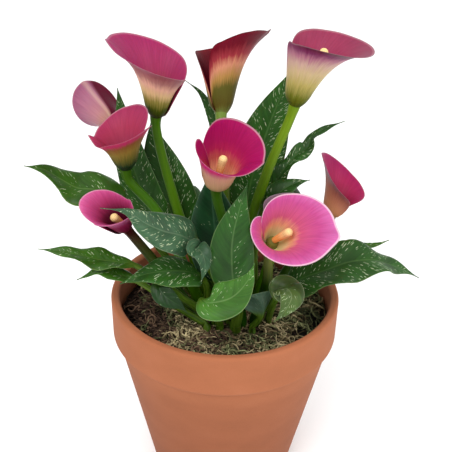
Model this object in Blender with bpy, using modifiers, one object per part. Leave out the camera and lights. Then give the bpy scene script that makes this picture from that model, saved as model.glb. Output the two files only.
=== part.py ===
"""A potted calla lily in a clay pot: soil, a moss top dressing, one tuber, ten blooms, each a stem
with a spathe and a spadix, and twenty-two leaves.

Metres, +Z up. The origin is the middle of the pot's underside and -Y is the plant's show side.
Run with: blender --background --python part.py
"""

from dataclasses import dataclass
import math

import bmesh
import bpy
from mathutils import Vector, noise
import numpy as np

OBJECT_NAME = "potted_calla_lily"

# Clearance between touching pieces
GAP = 0.0003

# Clay pot: a six inch standard pot, 160 mm over the rim
POT_HEIGHT = 0.147
RIM_RADIUS = 0.080
COLLAR_FOOT_RADIUS = 0.0793
COLLAR_HEIGHT = 0.032
COLLAR_STEP = 0.0035
BODY_SLOPE = 0.225
RIM_INNER_RADIUS = 0.074
COLLAR_INNER_FOOT = (0.0735, 0.118)
BODY_INNER_TOP = (0.0695, 0.110)
BODY_WALL = 0.0058
FLOOR_THICKNESS = 0.009
DRAIN_RADIUS = 0.006
RIM_ROUNDING = 0.0022
COLLAR_ROUNDING = 0.0028
FOOT_ROUNDING = 0.0016
POT_STEPS = 36

# Potting soil, and the moss that lies on it
SOIL_TOP = 0.128
MOSS_RADIUS = 0.067
MOSS_THICKNESS = 0.0085
MOSS_RINGS = 5
MOSS_STEPS = 28
MOSS_LEVEL = 0.62
MOSS_LUMP_SIZE = 0.011
MOSS_LUMP_HEIGHT = 0.35
MOSS_EDGE_FALL = 0.45
MOSS_EDGE_WANDER = 0.07
MOSS_EDGE_TURNS = 2.3
MOSS_EDGE_SEED = Vector((4.0, 1.0, 0.0))

# Tuber under the clump
TUBER_CENTRE = Vector((0.004, -0.003, 0.095))
TUBER_RADII = Vector((0.033, 0.038, 0.014))
TUBER_DIMPLE = 0.05
TUBER_DIMPLE_TURNS = 1.7
TUBER_SEGMENTS = 16
TUBER_RINGS = 8
ROOT_CLEARANCE = 0.0008

# Height up to which every stem and petiole rises straight out of its hole
STRAIGHT_TOP = 0.140
HOLE_TOP = 0.150
HOLE_SIDES = 8

# Flower stems, spathes and spadices
STEM_FOOT_RADIUS = 0.0040
STEM_NECK_RADIUS = 0.0033
STEM_TOP_RADIUS = 0.0026
STEM_POINTS = 7
STEM_LEAD = 0.008
STEM_REACH = 0.006
SPATHE_THICKNESS = 0.0009
SPATHE_FOOT_RADIUS = 0.0042
SPATHE_FOOT_FLARE = 10.0
SPATHE_BULGE_REACH = 0.006
SPATHE_FLARE_POWER = 2.0
SPATHE_WRAP = 0.0015
SPATHE_AROUND = 16
SPATHE_ALONG = 5
MERIDIAN_SAMPLES = 160
CUSP_HALF_ANGLE = 11.0
MARGIN_START = 118.0
MARGIN_DEPTH = 0.22
MARGIN_POWER = 2.6
SPADIX_RADIUS = 0.0029
SPADIX_FOOT_RADIUS = 0.0020
SPADIX_WAIST_RADIUS = 0.0026
SPADIX_STEPS = 8

# Leaves
BLADE_THICKNESS = 0.00075
MIDRIB_RISE = 0.00035
MARGIN_WAVE_LEAD = 1.8
LEAF_TIP_HALF_WIDTH = 0.00035
PETIOLE_SPACING = 0.014
BLADE_SPACING = 0.0095
FEWEST_PETIOLE_RINGS = 3
FEWEST_BLADE_RINGS = 7
COLLAR_BLEND = 0.014


@dataclass(frozen=True)
class Bloom:
    """One bloom. Lengths in metres, angles in degrees.

    root is where the stem stands in the soil, via the points that it leans through and base the foot
    of the spathe. axis is the way the funnel points, and tip_side the side that its tip is on. The
    sheet is tip_length long at its tip and lip_length at the opposite lip, where it opens from the
    axis by tip_flare and lip_flare. hand says which margin lies outside, overlap how far they lap,
    cusp how far the point stands out at the tip, seam how far round the margins are shifted, and
    bulge by how much the sheet's foot opens further.
    """

    root: tuple
    via: tuple
    base: tuple
    axis: tuple
    tip_side: tuple
    tip_length: float
    lip_length: float
    tip_flare: float
    lip_flare: float
    bend: float
    hand: int
    overlap: float
    cusp: float
    seam: float
    spadix_tip: tuple
    bulge: float = 26.0


BLOOMS = (
    Bloom(
        root=(-0.012, 0.002), via=((-0.034, 0.012, 0.205),), base=(-0.0477, 0.0178, 0.2725),
        axis=(0.08, -0.1, 0.99), tip_side=(-0.94, -0.34, 0.04),
        tip_length=0.062, lip_length=0.039, tip_flare=56, lip_flare=52,
        bend=0.9, hand=-1, overlap=51, cusp=0.004, seam=16,
        spadix_tip=(-0.0463, 0.0154, 0.2943),
    ),
    Bloom(
        root=(-0.012, 0.019), via=((-0.04, 0.037, 0.195), (-0.06, 0.0385, 0.228)),
        base=(-0.079, 0.0318, 0.26), axis=(-0.53, 0.84, 0.1), tip_side=(-0.14, -0.2, 0.97),
        tip_length=0.04, lip_length=0.017, tip_flare=17, lip_flare=45,
        bend=-0.8, hand=1, overlap=48, cusp=0.001, seam=-61,
        spadix_tip=(-0.0864, 0.0436, 0.2613),
    ),
    Bloom(
        root=(-0.017, -0.0065), via=((-0.046, -0.006, 0.212),), base=(-0.0666, -0.0048, 0.2447),
        axis=(-0.1, -0.07, 0.99), tip_side=(-0.98, -0.14, -0.11),
        tip_length=0.027, lip_length=0.045, tip_flare=58, lip_flare=62,
        bend=0.7, hand=1, overlap=34, cusp=0.006, seam=0,
        spadix_tip=(-0.0685, -0.0048, 0.2595),
    ),
    Bloom(
        root=(0.002, 0.0105), via=((-0.001, 0.019, 0.205),), base=(-0.0051, 0.0299, 0.2698),
        axis=(0.0, 0.5, 0.87), tip_side=(1.0, 0.0, 0.0),
        tip_length=0.063, lip_length=0.043, tip_flare=56, lip_flare=22,
        bend=-0.4, hand=1, overlap=8, cusp=0.003, seam=33,
        spadix_tip=(-0.0053, 0.0409, 0.2889),
    ),
    Bloom(
        root=(0.0115, -0.0065), via=((0.014, -0.004, 0.190), (0.025, 0.002, 0.236)),
        base=(0.0428, 0.013, 0.2843), axis=(0.25, 0.03, 0.97), tip_side=(0.7, -0.7, -0.16),
        tip_length=0.064, lip_length=0.046, tip_flare=73, lip_flare=27,
        bend=0.7, hand=-1, overlap=32, cusp=0.0, seam=-34,
        spadix_tip=(0.0602, 0.007, 0.3253),
    ),
    Bloom(
        root=(0.0115, -0.0235), via=((0.005, -0.024, 0.190),), base=(-0.0065, -0.0287, 0.245),
        axis=(0.04, -0.3, 0.95), tip_side=(0.83, -0.53, -0.2),
        tip_length=0.0425, lip_length=0.0465, tip_flare=66, lip_flare=8,
        bend=1.2, hand=1, overlap=46, cusp=0.005, bulge=48, seam=0,
        spadix_tip=(-0.0025, -0.0336, 0.269),
    ),
    Bloom(
        root=(0.030, -0.0065), via=((0.048, 0.004, 0.172),), base=(0.0717, 0.0143, 0.2017),
        axis=(0.33, 0.2, 0.92), tip_side=(-0.92, 0.28, 0.27),
        tip_length=0.042, lip_length=0.024, tip_flare=40, lip_flare=73,
        bend=1.0, hand=1, overlap=30, cusp=0.0, seam=-36,
        spadix_tip=(0.0768, 0.0176, 0.2165),
    ),
    Bloom(
        root=(0.021, -0.0235), via=((0.028, -0.026, 0.172),), base=(0.03, -0.0298, 0.2039),
        axis=(0.17, -0.63, 0.76), tip_side=(0.95, -0.1, -0.3),
        tip_length=0.051, lip_length=0.037, tip_flare=64, lip_flare=57,
        bend=1.6, hand=-1, overlap=63, cusp=0.004, seam=19,
        spadix_tip=(0.041, -0.0441, 0.2222),
    ),
    Bloom(
        root=(-0.022, -0.015), via=((-0.050, -0.013, 0.180),), base=(-0.067, -0.0177, 0.207),
        axis=(-0.34, -0.48, 0.81), tip_side=(0.73, 0.41, 0.55),
        tip_length=0.018, lip_length=0.04, tip_flare=39, lip_flare=47,
        bend=3.0, hand=1, overlap=51, cusp=0.002, seam=0,
        spadix_tip=(-0.0745, -0.0266, 0.2205),
    ),
    Bloom(
        root=(0.021, -0.0065), via=((0.028, -0.009, 0.170),), base=(0.034, -0.013, 0.200),
        axis=(0.12, -0.05, 0.98), tip_side=(0.95, 0.30, 0.0),
        tip_length=0.030, lip_length=0.024, tip_flare=30, lip_flare=26,
        bend=0.0, hand=1, overlap=36, cusp=0.003, seam=0,
        spadix_tip=(0.036, -0.014, 0.218),
    ),
)


@dataclass(frozen=True)
class Leaf:
    """One leaf. The petiole rises at root and runs through the first stalk points of path, the last
    of which is the foot of the blade, and the midrib runs through the rest to the tip.

    face_foot and face_tip are the ways that the blade's upper side looks. fold raises the halves
    from the midrib, curl lowers the margins, and wave is the height of the margin's waves.
    """

    root: tuple
    path: tuple
    stalk: int
    half_width: float
    face_foot: tuple
    face_tip: tuple
    fold: float = 0.35
    curl: float = 0.25
    wave: float = 0.0012
    waves: float = 2.0
    widest: float = 0.66
    taper: float = 0.7
    across: int = 5
    foot_radius: float = 0.0032
    petiole_radius: float = 0.0020


LEAVES = (
    Leaf(
        root=(-0.0215, 0.002), stalk=2, half_width=0.015, fold=0.30, wave=0.0022, waves=2.2, across=7,
        face_foot=(-0.20, -0.25, 0.95), face_tip=(0.20, -0.40, 0.90),
        path=(
            (-0.045, -0.001, 0.180), (-0.068, 0.001, 0.208), (-0.080, 0.004, 0.219),
            (-0.090, 0.008, 0.221), (-0.102, 0.010, 0.221), (-0.112, 0.010, 0.227),
            (-0.123, 0.007, 0.236), (-0.135, 0.002, 0.241),
        ),
    ),
    Leaf(
        root=(-0.017, -0.0235), stalk=2, half_width=0.0085, fold=0.40, wave=0.0025, waves=2.5,
        face_foot=(0.0, -0.30, 0.95), face_tip=(0.0, -0.30, 1.0),
        path=(
            (-0.0421, -0.024, 0.1661), (-0.06, -0.024, 0.1809), (-0.0718, -0.026, 0.185),
            (-0.0836, -0.027, 0.1869), (-0.094, -0.028, 0.1903), (-0.1071, -0.028, 0.1931),
            (-0.1243, -0.027, 0.1944),
        ),
    ),
    Leaf(
        root=(-0.012, -0.032), stalk=2, half_width=0.0065,
        face_foot=(-0.10, -0.30, 0.95), face_tip=(-0.30, -0.30, 0.90),
        path=(
            (-0.034, -0.030, 0.154), (-0.058, -0.027, 0.170), (-0.072, -0.027, 0.176),
            (-0.085, -0.029, 0.180), (-0.092, -0.031, 0.177), (-0.099, -0.032, 0.174),
        ),
    ),
    Leaf(
        root=(-0.0125, -0.015), stalk=2, half_width=0.0135, fold=0.25, wave=0.0015, across=7,
        face_foot=(0.10, -0.30, 0.93), face_tip=(-0.20, -0.30, 0.90),
        path=(
            (-0.0122, -0.026, 0.1649), (-0.0148, -0.035, 0.1787), (-0.0212, -0.041, 0.1871),
            (-0.0315, -0.045, 0.1909), (-0.0435, -0.05, 0.193), (-0.0548, -0.053, 0.1916),
            (-0.0678, -0.054, 0.1858),
        ),
    ),
    Leaf(
        root=(-0.0075, -0.0235), stalk=2, half_width=0.007, fold=0.3, wave=0.0006, waves=1.5,
        face_foot=(0.0, -0.8, 0.6), face_tip=(0.1, -0.95, 0.3),
        path=(
            (-0.026, -0.036, 0.1624), (-0.0385, -0.049, 0.1817), (-0.0427, -0.054, 0.1841),
            (-0.0392, -0.058, 0.1807), (-0.034, -0.06, 0.1775), (-0.0288, -0.061, 0.1745),
            (-0.0243, -0.061, 0.1699),
        ),
    ),
    Leaf(
        root=(-0.003, -0.032), stalk=2, half_width=0.0125, fold=0.30, wave=0.0006, waves=1.5,
        face_foot=(0.20, -0.50, 0.80), face_tip=(-0.30, -0.80, 0.60),
        path=(
            (-0.008, -0.044, 0.162), (-0.015, -0.056, 0.176), (-0.010, -0.065, 0.180),
            (0.004, -0.069, 0.187), (0.014, -0.069, 0.200), (0.018, -0.066, 0.211),
        ),
    ),
    Leaf(
        root=(0.0075, -0.032), stalk=2, half_width=0.0145, fold=0.30, wave=0.0006, waves=1.5,
        widest=0.72, across=7, foot_radius=0.0044, petiole_radius=0.0032,
        face_foot=(0.0, -1.0, 0.25), face_tip=(0.20, -0.90, 0.50),
        path=(
            (0.009, -0.038, 0.155), (0.007, -0.047, 0.172), (0.004, -0.052, 0.200),
            (0.004, -0.052, 0.220), (0.008, -0.048, 0.240), (0.013, -0.042, 0.256),
        ),
    ),
    Leaf(
        root=(-0.003, -0.015), stalk=2, half_width=0.0135, fold=0.20, wave=0.0010, waves=1.5,
        widest=0.55, taper=1.6, across=7,
        face_foot=(0.20, -0.70, 0.65), face_tip=(0.10, -0.60, 0.80),
        path=(
            (-0.0091, -0.026, 0.1834), (-0.0182, -0.036, 0.2047), (-0.0282, -0.045, 0.2174),
            (-0.0398, -0.052, 0.2248), (-0.0505, -0.057, 0.2332), (-0.0607, -0.059, 0.2419),
            (-0.0778, -0.059, 0.2443),
        ),
    ),
    Leaf(
        root=(0.002, -0.0235), stalk=2, half_width=0.0065, wave=0.0005, waves=1.0,
        face_foot=(0.10, -0.60, 0.80), face_tip=(0.30, -0.90, 0.10),
        path=(
            (-0.0062, -0.03, 0.1749), (-0.0167, -0.042, 0.2008), (-0.019, -0.051, 0.2123),
            (-0.015, -0.058, 0.2129), (-0.013, -0.061, 0.2075), (-0.0136, -0.062, 0.2014),
            (-0.0154, -0.062, 0.1938),
        ),
    ),
    Leaf(
        root=(-0.0075, 0.0105), stalk=1, half_width=0.0185, wave=0.0016, across=7,
        face_foot=(0.30, -0.90, 0.35), face_tip=(0.0, -0.90, 0.40),
        path=(
            (-0.026, 0.014, 0.1695), (-0.034, 0.02, 0.1903), (-0.0411, 0.025, 0.2113),
            (-0.0467, 0.029, 0.2317), (-0.0507, 0.031, 0.2504), (-0.0518, 0.032, 0.2685),
        ),
    ),
    Leaf(
        root=(-0.017, 0.0105), stalk=1, half_width=0.014, taper=0.25, wave=0.0016,
        face_foot=(-0.20, -0.90, 0.35), face_tip=(-0.20, -0.90, 0.40),
        path=(
            (-0.034, 0.010, 0.172), (-0.050, 0.012, 0.196), (-0.060, 0.015, 0.222),
            (-0.067, 0.019, 0.246), (-0.071, 0.023, 0.270), (-0.074, 0.026, 0.288),
        ),
    ),
    Leaf(
        root=(0.0065, -0.015), stalk=1, half_width=0.0185, fold=0.40, wave=0.0010, waves=1.5,
        face_foot=(0.10, -0.95, 0.30), face_tip=(0.10, -0.90, 0.30),
        path=(
            (0.001, -0.0135, 0.16), (-0.0045, -0.0128, 0.182), (-0.0085, -0.0115, 0.21),
            (-0.0103, -0.0105, 0.235), (-0.009, -0.0095, 0.252),
        ),
    ),
    Leaf(
        root=(-0.0025, 0.019), stalk=2, half_width=0.0038, wave=0.0006, waves=1.0,
        face_foot=(-0.60, -0.70, 0.40), face_tip=(-0.50, -0.80, 0.40),
        path=(
            (-0.0042, 0.028, 0.2058), (-0.0083, 0.035, 0.2396), (-0.0107, 0.039, 0.2603),
            (-0.0143, 0.041, 0.2705), (-0.0198, 0.042, 0.2795), (-0.0292, 0.041, 0.2877),
        ),
    ),
    Leaf(
        root=(0.0115, 0.0105), stalk=1, half_width=0.018, wave=0.0016, waves=2.5, widest=0.72, across=7,
        face_foot=(0.0, -0.90, 0.40), face_tip=(-0.20, -0.90, 0.40),
        path=(
            (0.0128, 0.0225, 0.182), (0.0155, 0.0305, 0.212), (0.0228, 0.034, 0.242),
            (0.031, 0.035, 0.27), (0.038, 0.034, 0.29), (0.044, 0.032, 0.306),
        ),
    ),
    Leaf(
        root=(0.021, 0.0105), stalk=2, half_width=0.006, fold=0.50, wave=0.003, waves=3.0,
        face_foot=(-0.30, -0.50, 0.80), face_tip=(-0.30, -0.50, 0.80),
        path=(
            (0.0206, 0.012, 0.1882), (0.03, 0.015, 0.2176), (0.039, 0.019, 0.2349),
            (0.047, 0.024, 0.2425), (0.0544, 0.028, 0.2467), (0.057, 0.031, 0.2529),
            (0.0655, 0.032, 0.2586), (0.0788, 0.033, 0.2644),
        ),
    ),
    Leaf(
        root=(0.0165, 0.002), stalk=2, half_width=0.009, waves=1.5,
        face_foot=(0.0, -0.50, 0.90), face_tip=(0.20, -0.50, 0.90),
        path=(
            (0.0201, 0.003, 0.1798), (0.0255, 0.004, 0.2048), (0.0317, 0.004, 0.2181),
            (0.0382, 0.006, 0.2256), (0.0462, 0.008, 0.2293), (0.0556, 0.009, 0.2313),
        ),
    ),
    Leaf(
        root=(0.0255, -0.015), stalk=1, half_width=0.0165, wave=0.0042, waves=3.0, across=7,
        face_foot=(0.10, -0.30, 0.93), face_tip=(0.30, -0.30, 0.90),
        path=(
            (0.0377, -0.017, 0.1578), (0.05, -0.02, 0.1699), (0.0677, -0.021, 0.1789),
            (0.0837, -0.018, 0.1838), (0.0997, -0.014, 0.1833), (0.1135, -0.007, 0.1753),
            (0.1238, -0.002, 0.1683), (0.1357, 0.002, 0.1594),
        ),
    ),
    Leaf(
        root=(0.026, 0.002), stalk=2, half_width=0.006, wave=0.0016, waves=1.5,
        face_foot=(0.0, -0.30, 0.95), face_tip=(0.10, -0.30, 0.95),
        path=(
            (0.0497, 0.008, 0.1602), (0.0648, 0.012, 0.1713), (0.0787, 0.013, 0.1751),
            (0.094, 0.013, 0.1772), (0.1064, 0.013, 0.1799), (0.1136, 0.012, 0.1839),
        ),
    ),
    Leaf(
        root=(0.030, -0.0235), stalk=1, half_width=0.010, wave=0.0008, waves=1.0,
        face_foot=(0.30, -0.40, 0.90), face_tip=(0.20, -0.90, 0.20),
        path=(
            (0.034, -0.038, 0.166), (0.040, -0.048, 0.181), (0.043, -0.056, 0.180),
            (0.039, -0.060, 0.172), (0.032, -0.062, 0.164),
        ),
    ),
    Leaf(
        root=(-0.0075, 0.0275), stalk=1, half_width=0.014, wave=0.0020,
        face_foot=(-0.20, 0.30, 0.90), face_tip=(-0.30, 0.80, 0.50),
        path=(
            (-0.018, 0.042, 0.172), (-0.027, 0.054, 0.190), (-0.036, 0.064, 0.194),
            (-0.044, 0.070, 0.186), (-0.050, 0.073, 0.172),
        ),
    ),
    Leaf(
        root=(0.0190, -0.033), stalk=1, half_width=0.011, fold=0.90, wave=0.0004, waves=1.0,
        face_foot=(-0.50, 0.60, 0.60), face_tip=(-0.30, 0.50, 0.80),
        path=(
            (0.024, -0.037, 0.150), (0.025, -0.041, 0.162), (0.021, -0.044, 0.170),
            (0.014, -0.046, 0.174),
        ),
    ),
    Leaf(
        root=(0.0115, 0.0275), stalk=1, half_width=0.015, wave=0.0020,
        face_foot=(0.20, 0.30, 0.90), face_tip=(0.30, 0.80, 0.50),
        path=(
            (0.020, 0.042, 0.176), (0.028, 0.054, 0.194), (0.038, 0.063, 0.198),
            (0.049, 0.069, 0.190), (0.057, 0.072, 0.176),
        ),
    ),
)

# Colours, as linear red, green and blue, with roughness
CLAY = ((0.552, 0.195, 0.092), 0.85)
SOIL = ((0.030, 0.020, 0.013), 0.95)
MOSS = ((0.150, 0.115, 0.040), 0.95)
TUBER = ((0.210, 0.110, 0.050), 0.80)
STEM = ((0.200, 0.270, 0.040), 0.45)
SPATHE = ((0.620, 0.070, 0.240), 0.40)
SPADIX = ((0.900, 0.480, 0.080), 0.60)
LEAF = ((0.035, 0.120, 0.030), 0.42)


# Scene and materials


def clear_scene():
    for obj in list(bpy.data.objects):
        bpy.data.objects.remove(obj, do_unlink=True)


def new_collection(name, hidden=False):
    collection = bpy.data.collections.new(name)
    collection.hide_render = hidden
    bpy.context.scene.collection.children.link(collection)
    return collection


def principled(name, finish):
    colour, roughness = finish
    material = bpy.data.materials.new(name)
    material.use_nodes = True
    shader = material.node_tree.nodes["Principled BSDF"]
    shader.inputs["Base Color"].default_value = (*colour, 1.0)
    shader.inputs["Roughness"].default_value = roughness
    shader.inputs["Metallic"].default_value = 0.0
    material.diffuse_color = (*colour, 1.0)
    return material


def add_object(name, data, collection, finish=None, location=(0.0, 0.0, 0.0)):
    obj = bpy.data.objects.new(name, data)
    obj.location = location
    collection.objects.link(obj)
    if finish is not None:
        data.materials.append(principled(name, finish))
    return obj


def mesh_from_bmesh(name, bm):
    mesh = bpy.data.meshes.new(name)
    bm.to_mesh(mesh)
    bm.free()
    mesh.shade_smooth()
    return mesh


def add_cutters(obj, cutters):
    cut = obj.modifiers.new("root_holes", "BOOLEAN")
    cut.operation = "DIFFERENCE"
    cut.operand_type = "COLLECTION"
    cut.collection = cutters
    cut.solver = "EXACT"


# Curves


def unit(vector):
    vector = np.asarray(vector, float)
    return vector / np.linalg.norm(vector)


def smoothstep(value):
    value = np.clip(value, 0.0, 1.0)
    return value * value * (3.0 - 2.0 * value)


def spline(points, stations):
    """Points of a smooth curve through the given ones, at stations counted in given points."""
    points = np.asarray(points, float)
    spans = np.sqrt(np.linalg.norm(np.diff(points, axis=0), axis=1))
    slopes = np.diff(points, axis=0) / spans[:, None]
    share = (spans[:-1] / (spans[:-1] + spans[1:]))[:, None]
    tangents = np.empty_like(points)
    tangents[0] = slopes[0]
    tangents[-1] = slopes[-1]
    tangents[1:-1] = slopes[:-1] * (1.0 - share) + slopes[1:] * share
    stations = np.asarray(stations, float)
    first = np.clip(np.floor(stations).astype(int), 0, len(points) - 2)
    part = (stations - first)[:, None]
    span = spans[first][:, None]
    return (
        (2 * part**3 - 3 * part**2 + 1) * points[first]
        + (part**3 - 2 * part**2 + part) * tangents[first] * span
        + (3 * part**2 - 2 * part**3) * points[first + 1]
        + (part**3 - part**2) * tangents[first + 1] * span
    )


def lengths_along(points):
    steps = np.linalg.norm(np.diff(points, axis=0), axis=1)
    return np.concatenate([[0.0], np.cumsum(steps)])


def evenly(points, start, end, count):
    """count points on the smooth curve, evenly spaced between two stations."""
    fine = np.linspace(start, end, 200)
    reached = lengths_along(spline(points, fine))
    return spline(points, np.interp(np.linspace(0.0, reached[-1], count), reached, fine))


def tuber_top(x, y):
    """Height of the tuber's top over a point of the soil."""
    across = ((x - TUBER_CENTRE.x) / TUBER_RADII.x) ** 2
    along = ((y - TUBER_CENTRE.y) / TUBER_RADII.y) ** 2
    return TUBER_CENTRE.z + TUBER_RADII.z * math.sqrt(1.0 - across - along)


def root_foot(root):
    """The point where a stem or petiole starts, just clear of the tuber."""
    centre = Vector(TUBER_CENTRE.xy)
    inward = (centre - Vector(root)).normalized() * STEM_FOOT_RADIUS
    nearest = Vector(root) + inward
    return (root[0], root[1], tuber_top(nearest.x, nearest.y) + ROOT_CLEARANCE)


# Pot, soil, moss and tuber


def arc(centre, radius, start, end, steps):
    """Points of an arc in the profile plane, angles in degrees from +X."""
    turns = [math.radians(start + (end - start) * i / steps) for i in range(steps + 1)]
    return [(centre[0] + radius * math.cos(a), centre[1] + radius * math.sin(a)) for a in turns]


def body_radius(height):
    """Outer radius of the pot's tapering body."""
    under_collar = POT_HEIGHT - COLLAR_HEIGHT
    return COLLAR_FOOT_RADIUS - COLLAR_STEP - BODY_SLOPE * (under_collar - height)


def inner_profile():
    """The pot's inside, from the rim down to the drainage hole."""
    floor_radius = body_radius(FLOOR_THICKNESS) - BODY_WALL
    return [
        COLLAR_INNER_FOOT,
        BODY_INNER_TOP,
        (floor_radius + 0.001, FLOOR_THICKNESS + 0.004),
        (floor_radius - 0.003, FLOOR_THICKNESS),
    ]


def pot_profile():
    collar_foot = POT_HEIGHT - COLLAR_HEIGHT
    rim = RIM_ROUNDING
    outer = arc((RIM_RADIUS - rim, POT_HEIGHT - rim), rim, 90, 0, 2)
    corner = COLLAR_ROUNDING
    collar = arc((COLLAR_FOOT_RADIUS - corner, collar_foot + corner), corner, 0, -90, 2)
    foot = FOOT_ROUNDING
    base_radius = body_radius(0.0)
    base = arc((base_radius - foot, foot), foot, 0, -90, 2)
    drain = [(DRAIN_RADIUS, 0.0), (DRAIN_RADIUS, FLOOR_THICKNESS)]
    inner = inner_profile()[::-1]
    lip = arc((RIM_INNER_RADIUS + rim, POT_HEIGHT - rim), rim, 180, 90, 2)
    return outer + collar + [(body_radius(collar_foot), collar_foot)] + base + drain + inner + lip


def screw(obj, steps):
    turn = obj.modifiers.new("turned", "SCREW")
    turn.axis = "Z"
    turn.steps = steps
    turn.render_steps = steps
    turn.use_merge_vertices = True
    turn.merge_threshold = 0.00001
    turn.use_smooth_shade = True


def profile_mesh(name, points, closed):
    """A profile in the XZ plane, as edges from point to point."""
    mesh = bpy.data.meshes.new(name)
    vertices = [(radius, 0.0, height) for radius, height in points]
    edges = [(i, i + 1) for i in range(len(points) - 1)]
    if closed:
        edges.append((len(points) - 1, 0))
    mesh.from_pydata(vertices, edges, [])
    return mesh


def add_pot(parts):
    pot = add_object("pot", profile_mesh("pot", pot_profile(), closed=True), parts, CLAY)
    screw(pot, POT_STEPS)


def add_soil(parts, cutters):
    wall = [(radius - GAP * 1.5, height) for radius, height in inner_profile()]
    top_radius = COLLAR_INNER_FOOT[0] - GAP * 1.5
    floor = (wall[-1][0], wall[-1][1] + GAP)
    points = [(0.0, SOIL_TOP), (top_radius, SOIL_TOP), *wall[:-1], floor, (0.0, floor[1])]
    soil = add_object(
        "potting_soil", profile_mesh("potting_soil", points, closed=False), parts, SOIL
    )
    screw(soil, POT_STEPS)
    add_cutters(soil, cutters)


def add_moss(parts, cutters):
    """A disc spun from a flat profile, its top raised in lumps and its edge made to wander."""
    bottom = SOIL_TOP + GAP
    bm = bmesh.new()
    radii = [MOSS_RADIUS * i / MOSS_RINGS for i in range(MOSS_RINGS + 1)]
    profile = [(radius, bottom + MOSS_THICKNESS) for radius in radii]
    profile += [(MOSS_RADIUS, bottom), (0.0, bottom)]
    vertices = [bm.verts.new((radius, 0.0, height)) for radius, height in profile]
    edges = [bm.edges.new(pair) for pair in zip(vertices[:-1], vertices[1:])]
    bmesh.ops.spin(
        bm, geom=vertices + edges, axis=(0, 0, 1), cent=(0, 0, 0),
        angle=math.tau, steps=MOSS_STEPS,
    )
    bmesh.ops.remove_doubles(bm, verts=bm.verts, dist=0.00001)
    bmesh.ops.recalc_face_normals(bm, faces=bm.faces)
    for vertex in bm.verts:
        place = vertex.co
        radius = place.xy.length
        if radius > 0.0:
            around = Vector((place.x, place.y, 0.0)) / radius
            wander = MOSS_EDGE_WANDER * noise.noise(around * MOSS_EDGE_TURNS + MOSS_EDGE_SEED)
            place.x *= 1.0 + wander
            place.y *= 1.0 + wander
        if place.z > bottom + MOSS_THICKNESS / 2:
            share = radius / MOSS_RADIUS
            lump = noise.noise(place / MOSS_LUMP_SIZE) * MOSS_LUMP_HEIGHT
            fall = 1.0 - MOSS_EDGE_FALL * share**4
            place.z = bottom + MOSS_THICKNESS * (MOSS_LEVEL + lump) * fall
    bmesh.ops.triangulate(bm, faces=bm.faces)
    moss = add_object("moss_top_dressing", mesh_from_bmesh("moss_top_dressing", bm), parts, MOSS)
    add_cutters(moss, cutters)


def tuber_mesh(name, margin, dimple):
    """An ellipsoid, made larger by margin, with hollows up to dimple of its size pressed in."""
    bm = bmesh.new()
    bmesh.ops.create_uvsphere(bm, u_segments=TUBER_SEGMENTS, v_segments=TUBER_RINGS, radius=1.0)
    for vertex in bm.verts:
        hollow = dimple * abs(noise.noise(vertex.co * TUBER_DIMPLE_TURNS))
        vertex.co = Vector(
            [c * (r + margin) * (1.0 - hollow) for c, r in zip(vertex.co, TUBER_RADII)]
        )
    return mesh_from_bmesh(name, bm)


def add_root_cutters(cutters):
    """The tuber's hollow, and one upright hole above it for each stem and petiole."""
    grow = 1.0 / math.cos(math.pi / HOLE_SIDES)
    hollow = tuber_mesh("tuber_hollow", GAP, 0.0)
    pieces = [add_object("tuber_hollow", hollow, cutters, location=TUBER_CENTRE)]
    roots = [(bloom.root, STEM_FOOT_RADIUS) for bloom in BLOOMS]
    roots += [(leaf.root, leaf.foot_radius) for leaf in LEAVES]
    for number, (root, radius) in enumerate(roots, 1):
        low = TUBER_CENTRE.z
        bm = bmesh.new()
        bmesh.ops.create_cone(
            bm, cap_ends=True, segments=HOLE_SIDES, depth=HOLE_TOP - low,
            radius1=(radius + GAP) * grow, radius2=(radius + GAP) * grow,
        )
        name = f"root_hole_{number}"
        place = (root[0], root[1], (low + HOLE_TOP) / 2)
        pieces.append(add_object(name, mesh_from_bmesh(name, bm), cutters, location=place))
    for piece in pieces:
        piece.hide_render = True
        piece.display_type = "WIRE"


def add_tuber(parts):
    tuber = tuber_mesh("tuber", 0.0, TUBER_DIMPLE)
    add_object("tuber", tuber, parts, TUBER, location=TUBER_CENTRE)


# Blooms


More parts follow.
